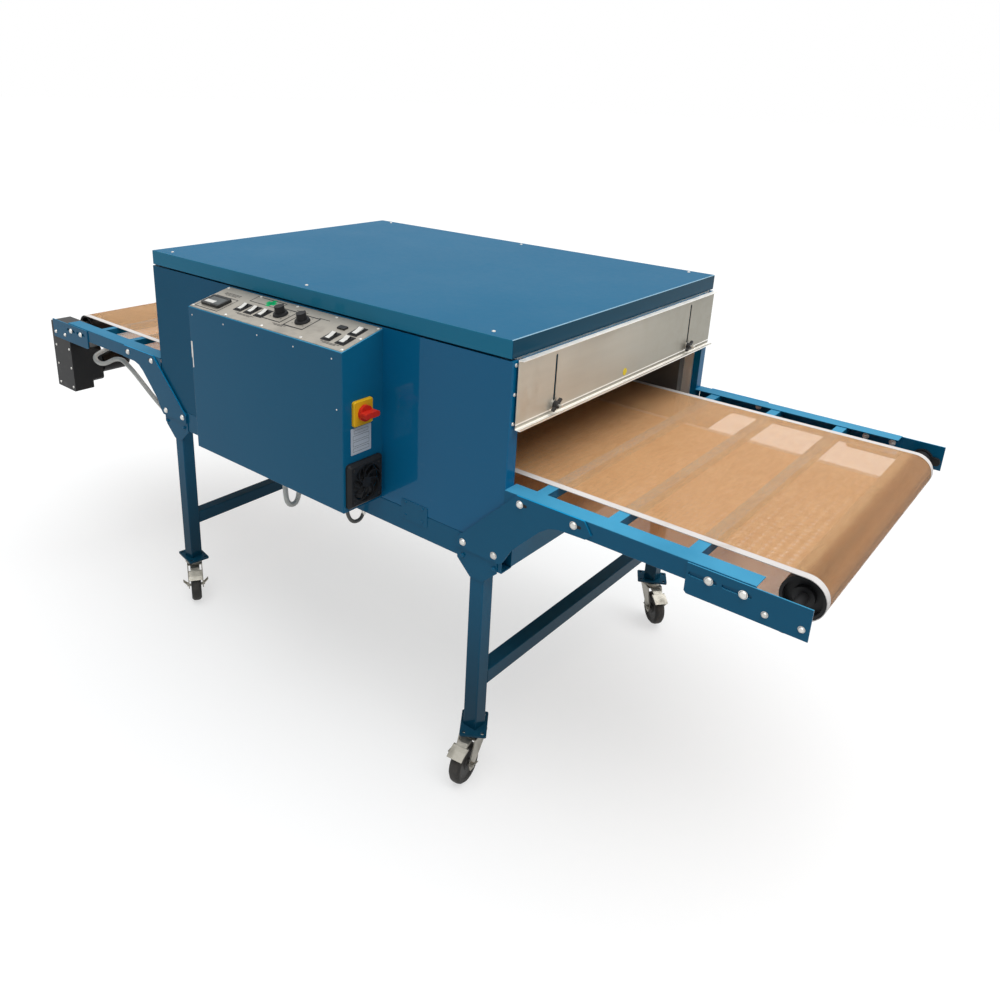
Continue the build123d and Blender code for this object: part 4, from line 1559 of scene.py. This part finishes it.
@dataclass
class PanelFace(Section):
    """The sloping control face: its screws, printed outlines, dial numbers, rocker frames and green patch."""

    outlined: tuple[tuple[float, ...], ...] = (
        (-5, 58, 68, 62, 3.4), (77, 61, 68, 62, 3.4), (-222, 83, 92, 70, 2.4), (-92, 22, 112, 30, 2.4),
    )
    rules: tuple[tuple[float, ...], ...] = (
        (-92, 97, 70), (-92, 101, 48), (-222, 28, 64), (-222, 33, 64), (-222, 38, 44), (36, 96, 46),
        (36, 100, 30), (222, 108, 60), (222, 112, 42), (36, 22, 40), (60, 92, 40), (120, 28, 36),
    )
    patch: Span = (-80, 22)
    number_size: float = 6.2
    number_ring: Span = (25.5, 23.5)

    def matrix(self, u: float, v: float, lift: float = 0.0) -> Matrix:
        """Gives the place on the panel.

        Args:
            u: mm along the machine from its middle.
            v: mm down the slope from the back edge.
            lift: mm above the steel.

        Returns:
            The place, with Z away from the panel and Y up the slope.
        """
        y = PANEL_BACK[0] - v * math.cos(PANEL_SLOPE)
        z = PANEL_BACK[1] - v * math.sin(PANEL_SLOPE)
        base = Matrix.Translation(point(u, y, z)) @ Matrix.Rotation(PANEL_SLOPE, 4, "X")
        return base @ Matrix.Translation((0, 0, lift / 1000))

    def number(self, value: int, place: Matrix) -> Piece:
        """Writes one plain number and sets it in its place.

        Args:
            value: the number to write.
            place: its place on the panel.

        Returns:
            The number's mesh.
        """
        data = bpy.data.curves.new("number", "FONT")
        data.body = str(value)
        data.size = self.number_size / 1000
        data.align_x = "CENTER"
        data.align_y = "CENTER"
        data.extrude = 0.00006
        text = bpy.data.objects.new("number", data)
        bpy.context.collection.objects.link(text)
        take(text)
        bpy.ops.object.convert(target="MESH")
        return moved(bpy.context.object, place)

    def numbers(self) -> Piece:
        """Writes plain numbers round the two dials.

        Returns:
            The numbers as one piece.
        """
        wide, high = (value / 1000 for value in self.number_ring)
        copies = []
        for u, v in DIALS:
            for value in range(0, 11, 2):
                angle = math.radians(225 - value * 27)
                offset = Matrix.Translation((wide * math.cos(angle), high * math.sin(angle), 0))
                copies.append(self.number(value, self.matrix(u, v, 0.07) @ offset))
        return gather("dial_numbers", copies)

    def print_lines(self) -> Piece:
        """Prints the thin outlines about the dials and switches, and the plain rules beside them.

        Returns:
            The print as one piece.
        """
        copies = [
            moved(printed_frame("outline", width, height, line), self.matrix(u, v))
            for u, v, width, height, line in self.outlined
        ]
        copies += [moved(slab("rule", (width, 2.0, 0.12)), self.matrix(u, v)) for u, v, width in self.rules]
        return gather("panel_print", copies)

    def build(self) -> None:
        """Builds the control face's own pieces."""
        screw = turned("panel_screw", [(4.0, -0.2), (4.0, 0.9), (3.4, 1.7), (2.0, 2.1), (0.4, 2.2)], 16)
        places = [(u, v) for u in (-272, -138, 0, 138, 272) for v in (6, 119)] + [(-272, 63), (272, 63)]
        screws = set_out("panel_screws", screw, [self.matrix(u, v) for u, v in places])
        self.bench.hand_over(screws, Slot.ZINC)
        self.bench.hand_over(self.print_lines(), Slot.BLACK_PLASTIC)
        self.bench.hand_over(self.numbers(), Slot.BLACK_PLASTIC)
        frame = slab("rocker_frame", (30, 40, 0.9), rounding=2.0)
        frames = set_out("rocker_frames", frame, [self.matrix(u, v) for u, v in ROCKERS])
        self.bench.hand_over(frames, Slot.BLACK_PLASTIC)
        arms = [slab("arm", (width, height, 0.25), rounding=1.5) for width, height in ((32, 13), (13, 32))]
        patch = gather("green_patch", [moved(arm, self.matrix(*self.patch)) for arm in arms])
        green = Smooth("green_film", (0.0, 0.4, 0.13), (0.0, 0.32, 0.1), 0.35)
        self.bench.hand_over(patch, Slot.BLACK_PLASTIC, film=green)


@dataclass
class SmallPlates(Section):
    """The bare plate under the isolator, a painted highlight on the box's edge, a dark disc painted as the
    shade behind the fan guard, the gate's disc.
    """

    plate_y: float = -536.0
    plate_top: float = 260.0
    plate_bottom: float = 324.0
    plate_width: float = 63.0
    plate_thickness: float = 0.6
    ruled_boxes: tuple[tuple[float, ...], ...] = ((270, 44, 8), (284, 50, 11), (299, 50, 11), (313, 50, 9))
    chip_place: Place = (-276.6, BOX_FRONT, 912)
    disc_place: Place = (644.7, -13, LID_TOP - 166)

    def on_box(self, drop: float, lift: float = 0.0) -> Matrix:
        """Gives a place on the box's right side, with Z out and X down."""
        place = Matrix.Translation(point(BOX_SIDE + lift, self.plate_y, LID_TOP - drop))
        return place @ Matrix.Rotation(math.radians(90), 4, "Y")

    def data_plate(self) -> None:
        """Models the bare plate and its thin ruled boxes, left empty."""
        size = (self.plate_bottom - self.plate_top, self.plate_width, self.plate_thickness)
        plate = slab("data_plate", size, rounding=2.0)
        silver = Smooth("silver_film", (0.62, 0.64, 0.68), (0.5, 0.52, 0.56), 0.4, 300.0)
        middle = (self.plate_top + self.plate_bottom) / 2
        self.bench.hand_over(moved(plate, self.on_box(middle)), Slot.PANEL_STEEL, film=silver)
        boxes = [
            moved(printed_frame("ruled_box", height, width, 0.6, 0.1), self.on_box(drop, self.plate_thickness))
            for drop, width, height in self.ruled_boxes
        ]
        self.bench.hand_over(gather("data_plate_rules", boxes), Slot.BLACK_PLASTIC)

    def build(self) -> None:
        """Builds the plates and discs."""
        self.data_plate()
        # Painted highlight: two thin zinc strips on the box's left front edge, where the rounded edge catches
        # the light.
        edge_highlights = [
            slab("chip", (6.4, 44, 0.12), rounding=1.6),
            slab("chip", (3.4, 28, 0.1), (1.2, -34, 0), 1.0),
        ]
        upright = Matrix.Translation(point(*self.chip_place)) @ Matrix.Rotation(math.radians(90), 4, "X")
        self.bench.hand_over(gather("box_edge_highlight", [moved(chip, upright) for chip in edge_highlights]), Slot.ZINC)
        # Painted shade: a thin black disc for the shade in the opening behind the fan guard.
        fan_shadow = turned("fan_shadow_disc", [(44.0, 0.0), (44.0, 0.3)], 32)
        fan_shadow = moved(fan_shadow, set_at((BOX_SIDE, *FAN_MIDDLE), Facing.RIGHT))
        self.bench.hand_over(fan_shadow, Slot.BLACK_PLASTIC)
        disc = turned("gate_disc", [(9.0, 0.0), (9.0, 0.5), (8.6, 0.6)], 24)
        disc = moved(disc, set_at(self.disc_place, Facing.RIGHT))
        yellow = Smooth("disc_film", (0.9, 0.72, 0.03), (0.85, 0.66, 0.04), 0.4)
        self.bench.hand_over(disc, Slot.YELLOW_PLASTIC, "gate_right", yellow)


CONDUITS = (
    Conduit(
        "motor_conduit",
        (
            (-1236, -300, 640), (-1236, -300, 674), (-1178, -336, 681), (-1125, -375, 683), (-1128, -428, 668),
            (-1062, -433, 650), (-941, -434, 710), (-880, -434, 690), (-828, -432, 659), (-747, -426, 602),
            (-672, -418, 562), (-605, -410, 554), (-550, -400, 576), (-550, -400, 640),
        ),
        6.5, 894.6, Slot.GREY_CONDUIT, 4.4,
    ),
    Conduit(
        "grey_box_conduit",
        ((-44, -497, 642), (-44, -497, 572), (-44, -490, 508), (-44, -447, 508), (-44, -447, 578)),
        6.3, 231.9, Slot.GREY_CONDUIT, 4.4,
    ),
    Conduit(
        "dark_box_conduit",
        ((197, -506, 642), (197, -506, 586), (197, -484, 545), (197, -446, 547), (197, -446, 578)),
        4.2, 161.4, Slot.DARK_CONDUIT, 3.2,
    ),
)


def main(frame: dict, cad_box: Sequence[Sequence[float]]) -> None:
    """Builds the classes in order.

    Args:
        frame: the loaded CAD frame.
        cad_box: the CAD model's box from straight after loading; not used.
    """
    logging.basicConfig(level=logging.INFO, format="%(name)s: %(message)s")
    studio = Studio()
    studio.set_camera()
    finishes = FinishBook()
    finishes.make_all()
    bench = Bench(frame, finishes)
    for conduit in CONDUITS:
        conduit.build(bench)
    for section in (Finishing, Fastenings, PanelFace, SmallPlates):
        section(bench).build()
    studio.lay_floor()
    studio.light()


if __name__ == "__main__":
    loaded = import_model()
    main(loaded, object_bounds())
